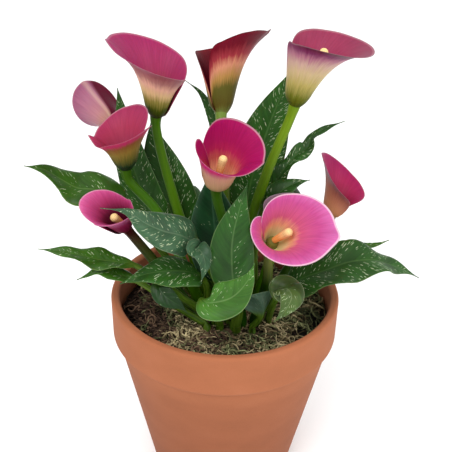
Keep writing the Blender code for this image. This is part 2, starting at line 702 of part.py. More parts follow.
def spathe_places(bloom, around, along):
    """Points of the spathe for around from -1 to 1 between its margins and along from 0 to 1.

    Each meridian starts on a ring round the axis, bulges out at its foot and then turns away from
    the axis, faster towards its end, by an angle that grows from the lip to the tip. It is longest at
    the tip, and near the margins it gets short, so that they run down into the throat. The ring is a
    spiral, so one margin lies outside the other, and bend leans the funnel towards its tip with the
    square of the height.
    """
    axis = unit(bloom.axis)
    side = unit(bloom.tip_side)
    forward = unit(side - axis * (side @ axis))
    across = np.cross(axis, forward)
    reach = math.pi + math.radians(bloom.overlap) / 2
    turn = reach * np.sign(around) * np.abs(around) ** 1.15
    nearness = (1.0 + np.cos(np.clip(turn, -math.pi, math.pi))) / 2
    length = bloom.lip_length + (bloom.tip_length - bloom.lip_length) * nearness**1.2
    length = length + bloom.cusp * np.exp(-((turn / math.radians(CUSP_HALF_ANGLE)) ** 2))
    flare = np.radians(bloom.lip_flare + (bloom.tip_flare - bloom.lip_flare) * nearness)
    start = math.radians(MARGIN_START)
    fall = np.clip((np.abs(turn) - start) / (reach - start), 0.0, 1.0) ** MARGIN_POWER
    drop = 1.0 - (1.0 - MARGIN_DEPTH) * fall
    fine = np.linspace(0.0, 1.0, MERIDIAN_SAMPLES)
    distance = fine[None, :] * (length * drop)[:, None]
    opening = np.clip(distance / (length * drop**0.55)[:, None], 0.0, 1.0) ** SPATHE_FLARE_POWER
    foot = math.radians(SPATHE_FOOT_FLARE)
    bulge = math.radians(bloom.bulge) * np.exp(-((distance / SPATHE_BULGE_REACH) ** 2))
    angle = foot + bulge + (flare[:, None] - foot) * opening
    middle = (angle[:, 1:] + angle[:, :-1]) / 2
    steps = np.diff(distance, axis=1)
    start_column = np.zeros((len(turn), 1))
    radius = np.concatenate([start_column, np.cumsum(np.sin(middle) * steps, axis=1)], axis=1)
    height = np.concatenate([start_column, np.cumsum(np.cos(middle) * steps, axis=1)], axis=1)
    sample = along**0.85
    radius = np.stack([np.interp(sample, fine, row) for row in radius])
    height = np.stack([np.interp(sample, fine, row) for row in height])
    radius = radius + SPATHE_FOOT_RADIUS + SPATHE_WRAP * (turn / math.tau)[:, None]
    lean = bloom.bend * height**2
    place = turn + math.radians(bloom.seam) * smoothstep(np.abs(turn) / math.pi)
    ahead = radius * np.cos(place * bloom.hand)[:, None] + lean
    aside = radius * np.sin(place * bloom.hand)[:, None]
    return (
        np.asarray(bloom.base)
        + height[..., None] * axis
        + ahead[..., None] * forward
        + aside[..., None] * across
    )


def add_spathe(bloom, number, parts):
    """A grid rolled into the funnel, split into triangles and given its thickness."""
    around = np.linspace(-1.0, 1.0, SPATHE_AROUND + 1)
    along = np.linspace(0.0, 1.0, SPATHE_ALONG + 1)
    places = spathe_places(bloom, around, along)
    bm = bmesh.new()
    bmesh.ops.create_grid(bm, x_segments=SPATHE_AROUND, y_segments=SPATHE_ALONG, size=1.0)
    for vertex in bm.verts:
        column = round((vertex.co.x + 1.0) / 2 * SPATHE_AROUND)
        row = round((vertex.co.y + 1.0) / 2 * SPATHE_ALONG)
        vertex.co = places[column, row]
    bmesh.ops.triangulate(bm, faces=bm.faces, quad_method="FIXED")
    name = f"spathe_{number}"
    spathe = add_object(name, mesh_from_bmesh(name, bm), parts, SPATHE)
    wall = spathe.modifiers.new("thickness", "SOLIDIFY")
    wall.thickness = SPATHE_THICKNESS
    wall.offset = 0.0


def stem_route(bloom):
    """Points from the tuber up through the leaning stem, and straight into the spathe's foot."""
    axis = unit(bloom.axis)
    base = np.asarray(bloom.base)
    foot = root_foot(bloom.root)
    turns = [foot, (*bloom.root, STRAIGHT_TOP), *bloom.via, base - axis * STEM_LEAD]
    turns += [base + axis * STEM_REACH]
    leaning = evenly(turns, 1, len(turns) - 2, STEM_POINTS)
    return np.concatenate([[foot], leaning, turns[-1:]])


def add_stem(bloom, number, parts):
    route = stem_route(bloom)
    radii = np.linspace(STEM_FOOT_RADIUS, STEM_NECK_RADIUS, len(route))
    radii[-2] = (STEM_NECK_RADIUS + STEM_TOP_RADIUS) / 2
    radii[-1] = STEM_TOP_RADIUS
    name = f"flower_stem_{number}"
    curve = bpy.data.curves.new(name, "CURVE")
    curve.dimensions = "3D"
    curve.bevel_depth = 1.0
    curve.bevel_resolution = 2
    curve.use_fill_caps = True
    line = curve.splines.new("POLY")
    line.points.add(len(route) - 1)
    for point, place, radius in zip(line.points, route, radii):
        point.co = (*place, 1.0)
        point.radius = radius
    add_object(name, curve, parts, STEM)


def add_spadix(bloom, number, parts):
    """A turned club with a round end, which leans from the stem's top to the spadix's tip."""
    axis = Vector(unit(bloom.axis))
    stem_top = Vector(bloom.base) + axis * (STEM_REACH + GAP)
    lean = axis.angle(Vector(bloom.spadix_tip) - stem_top)
    foot = stem_top + axis * SPADIX_FOOT_RADIUS * math.sin(lean)
    club = Vector(bloom.spadix_tip) - foot
    shoulder = club.length - SPADIX_RADIUS
    points = arc((0.0, shoulder), SPADIX_RADIUS, 90, 0, 3)
    points += [(SPADIX_WAIST_RADIUS, shoulder / 2), (SPADIX_FOOT_RADIUS, 0.0)]
    points = [(0.0, club.length), *points[1:], (0.0, 0.0)]
    name = f"spadix_{number}"
    spadix = add_object(name, profile_mesh(name, points, closed=False), parts, SPADIX)
    screw(spadix, SPADIX_STEPS)
    spadix.location = foot
    spadix.rotation_mode = "QUATERNION"
    spadix.rotation_quaternion = club.to_track_quat("Z", "Y")


# Leaves


def leaf_line(leaf):
    """The leaf's middle line, and the number of the point at which its blade starts."""
    points = [(*leaf.root, STRAIGHT_TOP), *leaf.path]
    stalk_length = lengths_along(points[: leaf.stalk + 1])[-1]
    blade_length = lengths_along(points[leaf.stalk :])[-1]
    stalk_rings = max(FEWEST_PETIOLE_RINGS, round(stalk_length / PETIOLE_SPACING) + 1)
    blade_rings = max(FEWEST_BLADE_RINGS, round(blade_length / BLADE_SPACING) + 1)
    petiole = evenly(points, 0, leaf.stalk, stalk_rings)
    blade = evenly(points, leaf.stalk, len(points) - 1, blade_rings)
    return np.concatenate([[root_foot(leaf.root)], petiole, blade[1:]]), stalk_rings


def leaf_rings(leaf):
    """Rings of points from the root to the tip.

    The petiole's ring is round. Past the blade's foot it turns into a thin flat section: across is
    -1 to 1 from margin to margin, the half width follows a sine that is drawn out to the tip, the
    halves rise from the midrib by fold, the margins sink by curl and swing by wave.
    """
    line, blade_start = leaf_line(leaf)
    tangents = np.gradient(line, axis=0)
    tangents[:2] = (0.0, 0.0, 1.0)
    tangents /= np.linalg.norm(tangents, axis=1)[:, None]
    reached = lengths_along(line)
    foot = reached[blade_start]
    share = np.clip((reached - foot) / (reached[-1] - foot), 0.0, 1.0)
    facing = np.outer(1.0 - share, leaf.face_foot) + np.outer(share, leaf.face_tip)
    upward = facing - tangents * (facing * tangents).sum(axis=1)[:, None]
    upward /= np.linalg.norm(upward, axis=1)[:, None]
    sideways = np.cross(tangents, upward)
    climbed = np.clip(reached / foot, 0.0, 1.0)
    radius = leaf.foot_radius + (leaf.petiole_radius - leaf.foot_radius) * climbed
    radius = radius * (1.0 - 0.75 * share)
    outline = np.sin(math.pi * share**leaf.widest) ** (0.75 + leaf.taper * share**2)
    width = np.maximum(leaf.half_width * outline, LEAF_TIP_HALF_WIDTH)
    width = np.where(share <= 0.0, radius, width)
    across = np.linspace(-1.0, 1.0, leaf.across)
    phase = math.tau * leaf.waves * share[:, None] + MARGIN_WAVE_LEAD * np.sign(across)
    swing = np.sin(phase) * leaf.wave * across**2 * (width / leaf.half_width)[:, None]
    rise = leaf.fold * (np.sqrt(across**2 + 0.02) - 0.14) - leaf.curl * np.abs(across) ** 3
    height = rise * width[:, None] + swing
    rib = MIDRIB_RISE * np.outer(1.0 - share, np.abs(across) < 0.01)
    half = BLADE_THICKNESS / 2 + rib
    turns = np.radians(180.0 - 90.0 / leaf.across - 180.0 / leaf.across * np.arange(leaf.across))
    blend = smoothstep((reached - foot + 0.002) / COLLAR_BLEND)[:, None, None]

    def half_ring(side):
        round_part = np.cos(turns)[None, :, None] * sideways[:, None]
        round_part = round_part + side * np.sin(turns)[None, :, None] * upward[:, None]
        flat = (width[:, None] * across)[..., None] * sideways[:, None]
        flat = flat + (height + side * half)[..., None] * upward[:, None]
        return line[:, None] + (1.0 - blend) * radius[:, None, None] * round_part + blend * flat

    return np.concatenate([half_ring(1.0), half_ring(-1.0)[:, ::-1]], axis=1), line


def loft_triangles(rings, across):
    """Triangles between the rings, split alike on both faces of the blade, and a fan on each end."""
    count = 2 * across
    triangles = []
    for ring in range(rings - 1):
        low = ring * count
        high = low + count
        for k in range(across - 1):
            mirror = count - 1 - k
            triangles += [(low + k, low + k + 1, high + k + 1), (low + k, high + k + 1, high + k)]
            triangles += [(low + mirror, high + mirror - 1, low + mirror - 1)]
            triangles += [(low + mirror, high + mirror, high + mirror - 1)]
        for k in (across - 1, count - 1):
            after = (k + 1) % count
            triangles += [(low + k, low + after, high + after), (low + k, high + after, high + k)]
    foot = rings * count
    last = (rings - 1) * count
    for k in range(count):
        after = (k + 1) % count
        triangles += [(foot, after, k), (foot + 1, last + k, last + after)]
    return triangles


def add_leaf(leaf, number, parts):
    rings, line = leaf_rings(leaf)
    vertices = np.concatenate([rings.reshape(-1, 3), line[:1], line[-1:]])
    mesh = bpy.data.meshes.new(f"leaf_{number}")
    mesh.from_pydata(vertices.tolist(), [], loft_triangles(len(rings), leaf.across))
    bm = bmesh.new()
    bm.from_mesh(mesh)
    bmesh.ops.recalc_face_normals(bm, faces=bm.faces)
    bm.to_mesh(mesh)
    bm.free()
    mesh.shade_smooth()
    add_object(f"leaf_{number}", mesh, parts, LEAF)


def main():
    clear_scene()
    parts = new_collection(OBJECT_NAME)
    cutters = new_collection(f"{OBJECT_NAME}_cutters", hidden=True)
    add_root_cutters(cutters)
    add_pot(parts)
    add_soil(parts, cutters)
    add_moss(parts, cutters)
    add_tuber(parts)
    for number, bloom in enumerate(BLOOMS, 1):
        add_stem(bloom, number, parts)
        add_spathe(bloom, number, parts)
        add_spadix(bloom, number, parts)
    for number, leaf in enumerate(LEAVES, 1):
        add_leaf(leaf, number, parts)


main()
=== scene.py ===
"""The looks of a potted calla lily: fine blooms, leaves, moss, soil and pot on the plain model.

Every shape is a surface over two parameters, worked out as whole arrays. Lengths are in metres and
angles in degrees, but for the rows of a leaf's path, which are in millimetres.
"""

import math
from typing import NamedTuple

import bpy
import numpy as np
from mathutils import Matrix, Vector


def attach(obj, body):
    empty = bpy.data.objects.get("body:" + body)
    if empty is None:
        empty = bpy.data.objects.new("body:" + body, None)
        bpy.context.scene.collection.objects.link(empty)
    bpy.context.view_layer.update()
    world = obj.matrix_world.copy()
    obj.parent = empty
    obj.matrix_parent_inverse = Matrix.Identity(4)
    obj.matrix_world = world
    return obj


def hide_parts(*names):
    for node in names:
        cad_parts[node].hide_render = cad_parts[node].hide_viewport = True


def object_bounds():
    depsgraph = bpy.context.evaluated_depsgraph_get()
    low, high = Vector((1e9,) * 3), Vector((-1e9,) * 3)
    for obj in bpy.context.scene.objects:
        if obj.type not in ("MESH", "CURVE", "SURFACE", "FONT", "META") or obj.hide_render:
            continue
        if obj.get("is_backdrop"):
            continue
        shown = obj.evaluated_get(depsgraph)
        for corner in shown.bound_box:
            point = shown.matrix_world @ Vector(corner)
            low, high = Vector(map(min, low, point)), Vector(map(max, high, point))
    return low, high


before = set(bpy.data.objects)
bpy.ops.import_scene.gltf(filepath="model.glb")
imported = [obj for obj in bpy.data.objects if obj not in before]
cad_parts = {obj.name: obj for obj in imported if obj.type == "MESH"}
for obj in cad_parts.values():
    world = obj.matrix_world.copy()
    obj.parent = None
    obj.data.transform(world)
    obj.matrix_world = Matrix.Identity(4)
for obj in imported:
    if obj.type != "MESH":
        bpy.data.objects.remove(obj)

bl_info = {
    "name": "Potted Calla Lily",
    "version": (1, 0, 0),
    "blender": (4, 5, 0),
    "location": "3D View > Sidebar > Calla",
    "description": "Builds the blooms, leaves, moss, soil and clay pot of a potted calla lily",
    "category": "Add Mesh",
}

# Heights at which the soil ends and the stems start to lean
SOIL_TOP = 0.128
STRAIGHT_TOP = 0.140

# Inside of the pot from the collar's foot to its floor: radius and height
POT_INSIDE = ((0.0735, 0.118), (0.0695, 0.110), (0.0470, 0.013), (0.0430, 0.009))

# The tuber's top as in the plain model: an ellipsoid
TUBER_MIDDLE = (0.004, -0.003, 0.095)
TUBER_REACH = (0.033, 0.038, 0.014)

STEM_RADIUS = 0.0040
STEM_SIDES = 18
STEM_RINGS = 66

# Half the thickness of a spathe and of a blade, and the points of their grids
SHEET_HALF = 0.00030
SHEET_AROUND = 97
SHEET_ALONG = 49
BLADE_HALF = 0.00028
BLADE_ACROSS = 25
PETIOLE_RINGS = 22
BLADE_RINGS = 72

# On a blade: from one side vein to the next, half the midrib's width, the way over which it opens
VEIN_STEP = 0.0052
MIDRIB_HALF = 0.0008
BLADE_OPENS = 0.014

# The ring that a spathe starts on, the turn past which it falls to its margins, its foot's angle
SHEET_FOOT = 0.0041
MARGIN_START = 118.0
FOOT_ANGLE = 10.0

CLUB_RADIUS = 0.00285
CLUB_SIDES = 30
CLUB_RINGS = 40

# Radii that the moss bed and its strands stay within, and how many heaps the strands lie in
MOSS_RADIUS = 0.066
STRAND_LIMIT = 0.0712
HEAPS = 55
STRAND_POINTS = 11
STRAND_SIDES = 3

# Each set of strands: its name, its tones from dark to pale, where it is thickest and its spread
# The pale ends of these ramps also paint light on strands lying high, the dark ends shade on
# strands lying low.
STRANDS = (
    ("tan_strands", "0.18 1c150b, 0.55 665a3e, 0.95 c4b48a", (0.0, -0.03), (0.09, 0.06)),
    ("olive_strands", "0.18 101208, 0.55 40452a, 0.95 8e9064", (0.025, -0.02), (0.06, 0.08)),
    ("brown_strands", "0.18 0e0806, 0.55 362820, 0.95 6e5744", (-0.03, 0.01), (0.06, 0.07)),
)

# Places where the soil shows through the moss, each with its size
BARE_SOIL = (
    ((-0.062, -0.024), (0.010, 0.020)),
    ((0.050, -0.046), (0.012, 0.010)),
    ((0.064, -0.010), (0.009, 0.020)),
)


def mm(row):
    """Points in metres from a row of millimetres: a comma after each point, spaces inside it."""
    return np.array([point.split() for point in row.split(",")], float) / 1000.0


class Bloom(NamedTuple):
    """One bloom, with the same meaning as in the plain model: where its stem stands and leans,
    where its sheet starts, how it points, how long it is and opens at tip and lip, and its
    colours."""

    root: tuple
    via: tuple
    base: tuple
    axis: tuple
    tip_side: tuple
    tip_length: float
    lip_length: float
    tip_flare: float
    lip_flare: float
    bend: float
    overlap: float
    cusp: float
    spadix_tip: tuple
    outside: str
    inside: str
    stem: tuple
    edge: float
    hand: int = 1
    seam: float = 0.0
    bulge: float = 26.0
    dusk: str = ""
    rib: float = 0.0


BLOOMS = (
    Bloom(
        root=(-0.012, 0.002), via=((-0.034, 0.012, 0.205),), base=(-0.0477, 0.0178, 0.2725),
        axis=(0.08, -0.1, 0.99), tip_side=(-0.94, -0.34, 0.04), tip_length=0.062,
        lip_length=0.039, tip_flare=56, lip_flare=52, bend=0.9, hand=-1, overlap=51, cusp=0.004,
        seam=16, spadix_tip=(-0.0463, 0.0154, 0.2943),
        outside="0 212002, 0.13 374306, 0.24 7d7434, 0.36 c7a878, 0.48 d0a08a, 0.6 a06c66, "
                "0.74 894a50, 1 834059",
        inside="0 583f38, 0.25 8b4346, 0.5 913155, 1 851c4f",
        stem=("416402", "395e02"), edge=0.15,
    ),
    Bloom(
        root=(-0.012, 0.019), via=((-0.04, 0.037, 0.195), (-0.06, 0.0385, 0.228)),
        base=(-0.079, 0.0318, 0.26), axis=(-0.53, 0.84, 0.1), tip_side=(-0.14, -0.2, 0.97),
        tip_length=0.04, lip_length=0.017, tip_flare=17, lip_flare=45, bend=-0.8, overlap=48,
        cusp=0.001, seam=-61, spadix_tip=(-0.0864, 0.0436, 0.2613),
        outside="0 a07666, 0.25 a06d74, 0.6 945f72, 1 7f4461",
        inside="0 530926, 1 45031d",
        stem=("416402", "7b8818"), edge=0.1, dusk="4e001e", rib=0.26,
    ),
    Bloom(
        root=(-0.017, -0.0065), via=((-0.046, -0.006, 0.212),), base=(-0.0666, -0.0048, 0.2447),
        axis=(-0.1, -0.07, 0.99), tip_side=(-0.98, -0.14, -0.11), tip_length=0.027,
        lip_length=0.045, tip_flare=58, lip_flare=62, bend=0.7, overlap=34, cusp=0.006,
        spadix_tip=(-0.0685, -0.0048, 0.2595),
        outside="0 041103, 0.12 1c3016, 0.25 54511f, 0.42 7a6429, 0.6 774c27, 0.74 aa2a56, "
                "1 b22a5c",
        inside="0 814a2d, 0.3 983b54, 0.6 97304c, 1 8a2a50",
        stem=("3d6c04", "2f5202"), edge=0.2,
    ),
    Bloom(
        root=(0.002, 0.0105), via=((-0.001, 0.019, 0.205),), base=(-0.0051, 0.0299, 0.2698),
        axis=(0.0, 0.5, 0.87), tip_side=(1.0, 0.0, 0.0), tip_length=0.063, lip_length=0.043,
        tip_flare=56, lip_flare=22, bend=-0.4, overlap=8, cusp=0.003, seam=33,
        spadix_tip=(-0.0053, 0.0409, 0.2889),
        outside="0 5d672d, 0.08 4a4111, 0.28 4f4c19, 0.4 98743c, 0.53 b87c60, 0.64 8a2c34, "
                "0.78 600a1c, 1 56041e",
        inside="0 5a0416, 0.5 480010, 1 600818",
        stem=("395003", "637930"), edge=0.0,
    ),
    Bloom(
        root=(0.0115, -0.0065), via=((0.014, -0.004, 0.19), (0.025, 0.002, 0.236)),
        base=(0.0428, 0.013, 0.2843), axis=(0.25, 0.03, 0.97), tip_side=(0.7, -0.7, -0.16),
        tip_length=0.064, lip_length=0.046, tip_flare=73, lip_flare=27, bend=0.7, hand=-1,
        overlap=32, cusp=0.0, seam=-34, spadix_tip=(0.0602, 0.007, 0.3253),
        outside="0 323e02, 0.12 595e15, 0.28 9f9251, 0.45 b7a27a, 0.58 b69888, 0.7 a0687a, "
                "0.8 702a52, 0.9 540c32, 1 440422",
        inside="0 9c6658, 0.4 8d3154, 0.7 8b3450, 1 782d47",
        stem=("406102", "5e780c"), edge=0.15,
    ),
    Bloom(
        root=(0.0115, -0.0235), via=((0.005, -0.024, 0.19),), base=(-0.0065, -0.0287, 0.245),
        axis=(0.04, -0.3, 0.95), tip_side=(0.83, -0.53, -0.2), tip_length=0.0425,
        lip_length=0.0465, tip_flare=66, lip_flare=8, bend=1.2, overlap=46, cusp=0.005, bulge=48,
        spadix_tip=(-0.0025, -0.0336, 0.269),
        outside="0 7a6c3c, 0.2 a07c5c, 0.45 ac7c68, 0.56 a85c66, 0.68 ae1c5e, 1 b8206a",
        inside="0 f0c896, 0.2 f0ac88, 0.33 c4625c, 0.48 a82452, 0.62 981650, 1 8c064c",
        stem=("1b4002", "2b4c02"), edge=0.35,
    ),
    Bloom(
        root=(0.03, -0.0065), via=((0.048, 0.004, 0.172),), base=(0.0717, 0.0143, 0.2017),
        axis=(0.33, 0.2, 0.92), tip_side=(-0.92, 0.28, 0.27), tip_length=0.042, lip_length=0.024,
        tip_flare=40, lip_flare=73, bend=1.0, overlap=30, cusp=0.0, seam=-36,
        spadix_tip=(0.0768, 0.0176, 0.2165),
        outside="0 a07048, 0.3 a0684c, 0.6 8a5044, 0.85 7c4c58, 1 783d53",
        inside="0 6c1830, 0.3 882640, 0.6 8e2048, 1 7c0e46",
        stem=("294703", "565615"), edge=0.1,
    ),
    Bloom(
        root=(0.021, -0.0235), via=((0.028, -0.026, 0.172),), base=(0.03, -0.0298, 0.2039),
        axis=(0.17, -0.63, 0.76), tip_side=(0.95, -0.1, -0.3), tip_length=0.051, lip_length=0.037,
        tip_flare=64, lip_flare=57, bend=1.6, hand=-1, overlap=63, cusp=0.004, seam=19,
        spadix_tip=(0.041, -0.0441, 0.2222),
        outside="0 767b31, 0.3 ae8e78, 0.6 a64a78, 1 b1497e",
        inside="0 e6d496, 0.17 e6d2a0, 0.3 e4a884, 0.46 c0587a, 0.75 ae467e, 1 b6609a",
        # the stem's low colour is darkened further as painted shade among the leaves at its foot
        stem=("183402", "74763a"), edge=0.65,
    ),
    Bloom(
        root=(-0.022, -0.015), via=((-0.05, -0.013, 0.18),), base=(-0.067, -0.0177, 0.207),
        axis=(-0.34, -0.48, 0.81), tip_side=(0.73, 0.41, 0.55), tip_length=0.018, lip_length=0.04,
        tip_flare=39, lip_flare=47, bend=3.0, overlap=51, cusp=0.002,
        spadix_tip=(-0.0745, -0.0266, 0.2205),
        outside="0 37030b, 0.4 73133c, 1 c26797",
        inside="0 3c0314, 0.3 611931, 0.55 982f5a, 0.8 b14377, 1 c05c8f",
        stem=("2a4a0c", "36080f"), edge=0.3,
    ),
    Bloom(
        root=(0.021, -0.0065), via=((0.028, -0.009, 0.17),), base=(0.034, -0.013, 0.2),
        axis=(0.12, -0.05, 0.98), tip_side=(0.95, 0.3, 0.0), tip_length=0.03, lip_length=0.024,
        tip_flare=30, lip_flare=26, bend=0.0, overlap=36, cusp=0.003,
        spadix_tip=(0.036, -0.014, 0.218),
        outside="0 675e48, 0.5 765967, 1 836674",
        inside="0 614551, 1 7a5f6d",
        stem=("3a6602", "58700e"), edge=0.2,
    ),
)


class Leaf(NamedTuple):
    """One leaf, with the same meaning as in the plain model, and the looks of its blade."""

    root: tuple
    path: np.ndarray
    stalk: int
    half_width: float
    face_foot: tuple
    face_tip: tuple
    fold: float = 0.35
    curl: float = 0.25
    wave: float = 0.0012
    waves: float = 2.0
    widest: float = 0.66
    taper: float = 0.7
    foot_radius: float = 0.0032
    petiole_radius: float = 0.0020
    colour: str = "dark"


LEAVES = (
    Leaf(
        root=(-0.0215, 0.002), stalk=2, half_width=0.015, fold=0.3, wave=0.0022, waves=2.2,
        face_foot=(-0.2, -0.25, 0.95), face_tip=(0.2, -0.4, 0.9), colour="fresh",
        path=mm("-45 -1 180, -68 1 208, -80 4 219, -90 8 221, -102 10 221, -112 10 227, "
                "-123 7 236, -135 2 241"),
    ),
    Leaf(
        root=(-0.017, -0.0235), stalk=2, half_width=0.0085, fold=0.4, wave=0.0025, waves=2.5,
        face_foot=(0.0, -0.3, 0.95), face_tip=(0.0, -0.3, 1.0), colour="fresh",
        path=mm("-42.1 -24 166.1, -60 -24 180.9, -71.8 -26 185, -83.6 -27 186.9, -94 -28 190.3, "
                "-107.1 -28 193.1, -124.3 -27 194.4"),
    ),
    Leaf(
        root=(-0.012, -0.032), stalk=2, half_width=0.0065, colour="fresh",
        face_foot=(-0.1, -0.3, 0.95), face_tip=(-0.3, -0.3, 0.9),
        path=mm("-34 -30 154, -58 -27 170, -72 -27 176, -85 -29 180, -92 -31 177, -99 -32 174"),
    ),
    Leaf(
        root=(-0.0125, -0.015), stalk=2, half_width=0.0135, fold=0.25, wave=0.0015,
        face_foot=(0.1, -0.3, 0.93), face_tip=(-0.2, -0.3, 0.9),
        path=mm("-12.2 -26 164.9, -14.8 -35 178.7, -21.2 -41 187.1, -31.5 -45 190.9, "
                "-43.5 -50 193, -54.8 -53 191.6, -67.8 -54 185.8"),
    ),
    Leaf(
        root=(-0.0075, -0.0235), stalk=2, half_width=0.007, colour="in_shade", fold=0.3, wave=0.0006,
        waves=1.5, face_foot=(0.0, -0.8, 0.6), face_tip=(0.1, -0.95, 0.3),
        path=mm("-26 -36 162.4, -38.5 -49 181.7, -42.7 -54 184.1, -39.2 -58 180.7, "
                "-34 -60 177.5, -28.8 -61 174.5, -24.3 -61 169.9"),
    ),
    Leaf(
        root=(-0.003, -0.032), stalk=2, half_width=0.0125, fold=0.3, wave=0.0006, waves=1.5,
        face_foot=(0.2, -0.5, 0.8), face_tip=(-0.3, -0.8, 0.6), colour="bright",
        path=mm("-8 -44 162, -15 -56 176, -10 -65 180, 4 -69 187, 14 -69 200, 18 -66 211"),
    ),
    Leaf(
        root=(0.0075, -0.032), stalk=2, half_width=0.0145, fold=0.3, wave=0.0006, waves=1.5,
        widest=0.72, foot_radius=0.0044, petiole_radius=0.0032, colour="mid",
        face_foot=(0.0, -1.0, 0.25), face_tip=(0.2, -0.9, 0.5),
        path=mm("9 -38 155, 7 -47 172, 4 -52 200, 4 -52 220, 8 -48 240, 13 -42 256"),
    ),
    Leaf(
        root=(-0.003, -0.015), stalk=2, half_width=0.0135, fold=0.2, wave=0.001, waves=1.5,
        widest=0.55, taper=1.6, colour="grey", face_foot=(0.2, -0.7, 0.65),
        face_tip=(0.1, -0.6, 0.8),
        path=mm("-9.1 -26 183.4, -18.2 -36 204.7, -28.2 -45 217.4, -39.8 -52 224.8, "
                "-50.5 -57 233.2, -60.7 -59 241.9, -77.8 -59 244.3"),
    ),
    Leaf(
        root=(0.002, -0.0235), stalk=2, half_width=0.0065, wave=0.0005, waves=1.0, colour="grey",
        face_foot=(0.1, -0.6, 0.8), face_tip=(0.3, -0.9, 0.1),
        path=mm("-6.2 -30 174.9, -16.7 -42 200.8, -19 -51 212.3, -15 -58 212.9, -13 -61 207.5, "
                "-13.6 -62 201.4, -15.4 -62 193.8"),
    ),
    Leaf(
        root=(-0.0075, 0.0105), stalk=1, half_width=0.0185, wave=0.0016,
        face_foot=(0.3, -0.9, 0.35), face_tip=(0.0, -0.9, 0.4),
        path=mm("-26 14 169.5, -34 20 190.3, -41.1 25 211.3, -46.7 29 231.7, -50.7 31 250.4, "
                "-51.8 32 268.5"),
    ),
    Leaf(
        root=(-0.017, 0.0105), stalk=1, half_width=0.014, taper=0.25, wave=0.0016,
        face_foot=(-0.2, -0.9, 0.35), face_tip=(-0.2, -0.9, 0.4),
        path=mm("-34 10 172, -50 12 196, -60 15 222, -67 19 246, -71 23 270, -74 26 288"),
    ),
    Leaf(
        root=(0.0065, -0.015), stalk=1, half_width=0.0185, fold=0.4, wave=0.001, waves=1.5,
        face_foot=(0.1, -0.95, 0.3), face_tip=(0.1, -0.9, 0.3), colour="blue",
        path=mm("1 -13.5 160, -4.5 -12.8 182, -8.5 -11.5 210, -10.3 -10.5 235, -9 -9.5 252"),
    ),
    Leaf(
        root=(-0.0025, 0.019), stalk=2, half_width=0.0038, wave=0.0006, waves=1.0,
        face_foot=(-0.6, -0.7, 0.4), face_tip=(-0.5, -0.8, 0.4),
        path=mm("-4.2 28 205.8, -8.3 35 239.6, -10.7 39 260.3, -14.3 41 270.5, -19.8 42 279.5, "
                "-29.2 41 287.7"),
    ),
    Leaf(
        root=(0.0115, 0.0105), stalk=1, half_width=0.018, wave=0.0016, waves=2.5, widest=0.72,
        face_foot=(0.0, -0.9, 0.4), face_tip=(-0.2, -0.9, 0.4),
        path=mm("12.8 22.5 182, 15.5 30.5 212, 22.8 34 242, 31 35 270, 38 34 290, 44 32 306"),
    ),
    Leaf(
        root=(0.021, 0.0105), stalk=2, half_width=0.006, fold=0.5, wave=0.003, waves=3.0,
        face_foot=(-0.3, -0.5, 0.8), face_tip=(-0.3, -0.5, 0.8),
        path=mm("20.6 12 188.2, 30 15 217.6, 39 19 234.9, 47 24 242.5, 54.4 28 246.7, "
                "57 31 252.9, 65.5 32 258.6, 78.8 33 264.4"),
    ),
    Leaf(
        root=(0.0165, 0.002), stalk=2, half_width=0.009, waves=1.5, face_foot=(0.0, -0.5, 0.9),
        face_tip=(0.2, -0.5, 0.9),
        path=mm("20.1 3 179.8, 25.5 4 204.8, 31.7 4 218.1, 38.2 6 225.6, 46.2 8 229.3, "
                "55.6 9 231.3"),
    ),
    Leaf(
        root=(0.0255, -0.015), stalk=1, half_width=0.0165, wave=0.0042, waves=3.0,
        face_foot=(0.1, -0.3, 0.93), face_tip=(0.3, -0.3, 0.9),
        path=mm("37.7 -17 157.8, 50 -20 169.9, 67.7 -21 178.9, 83.7 -18 183.8, 99.7 -14 183.3, "
                "113.5 -7 175.3, 123.8 -2 168.3, 135.7 2 159.4"),
    ),
    Leaf(
        root=(0.026, 0.002), stalk=2, half_width=0.006, wave=0.0016, waves=1.5, colour="fresh",
        face_foot=(0.0, -0.3, 0.95), face_tip=(0.1, -0.3, 0.95),
        path=mm("49.7 8 160.2, 64.8 12 171.3, 78.7 13 175.1, 94 13 177.2, 106.4 13 179.9, "
                "113.6 12 183.9"),
    ),
    Leaf(
        root=(0.03, -0.0235), stalk=1, half_width=0.01, wave=0.0008, waves=1.0, colour="olive",
        face_foot=(0.3, -0.4, 0.9), face_tip=(0.2, -0.9, 0.2),
        path=mm("34 -38 166, 40 -48 181, 43 -56 180, 39 -60 172, 32 -62 164"),
    ),
    Leaf(
        root=(-0.0075, 0.0275), stalk=1, half_width=0.014, wave=0.002, face_foot=(-0.2, 0.3, 0.9),
        face_tip=(-0.3, 0.8, 0.5),
        path=mm("-18 42 172, -27 54 190, -36 64 194, -44 70 186, -50 73 172"),
    ),
    Leaf(
        root=(0.019, -0.033), stalk=1, half_width=0.011, fold=0.9, wave=0.0004, waves=1.0,
        face_foot=(-0.5, 0.6, 0.6), face_tip=(-0.3, 0.5, 0.8), colour="grey",
        path=mm("24 -37 150, 25 -41 162, 21 -44 170, 14 -46 174"),
    ),
    Leaf(
        root=(0.0115, 0.0275), stalk=1, half_width=0.015, wave=0.002, face_foot=(0.2, 0.3, 0.9),
        face_tip=(0.3, 0.8, 0.5),
        path=mm("20 42 176, 28 54 194, 38 63 198, 49 69 190, 57 72 176"),
    ),
)

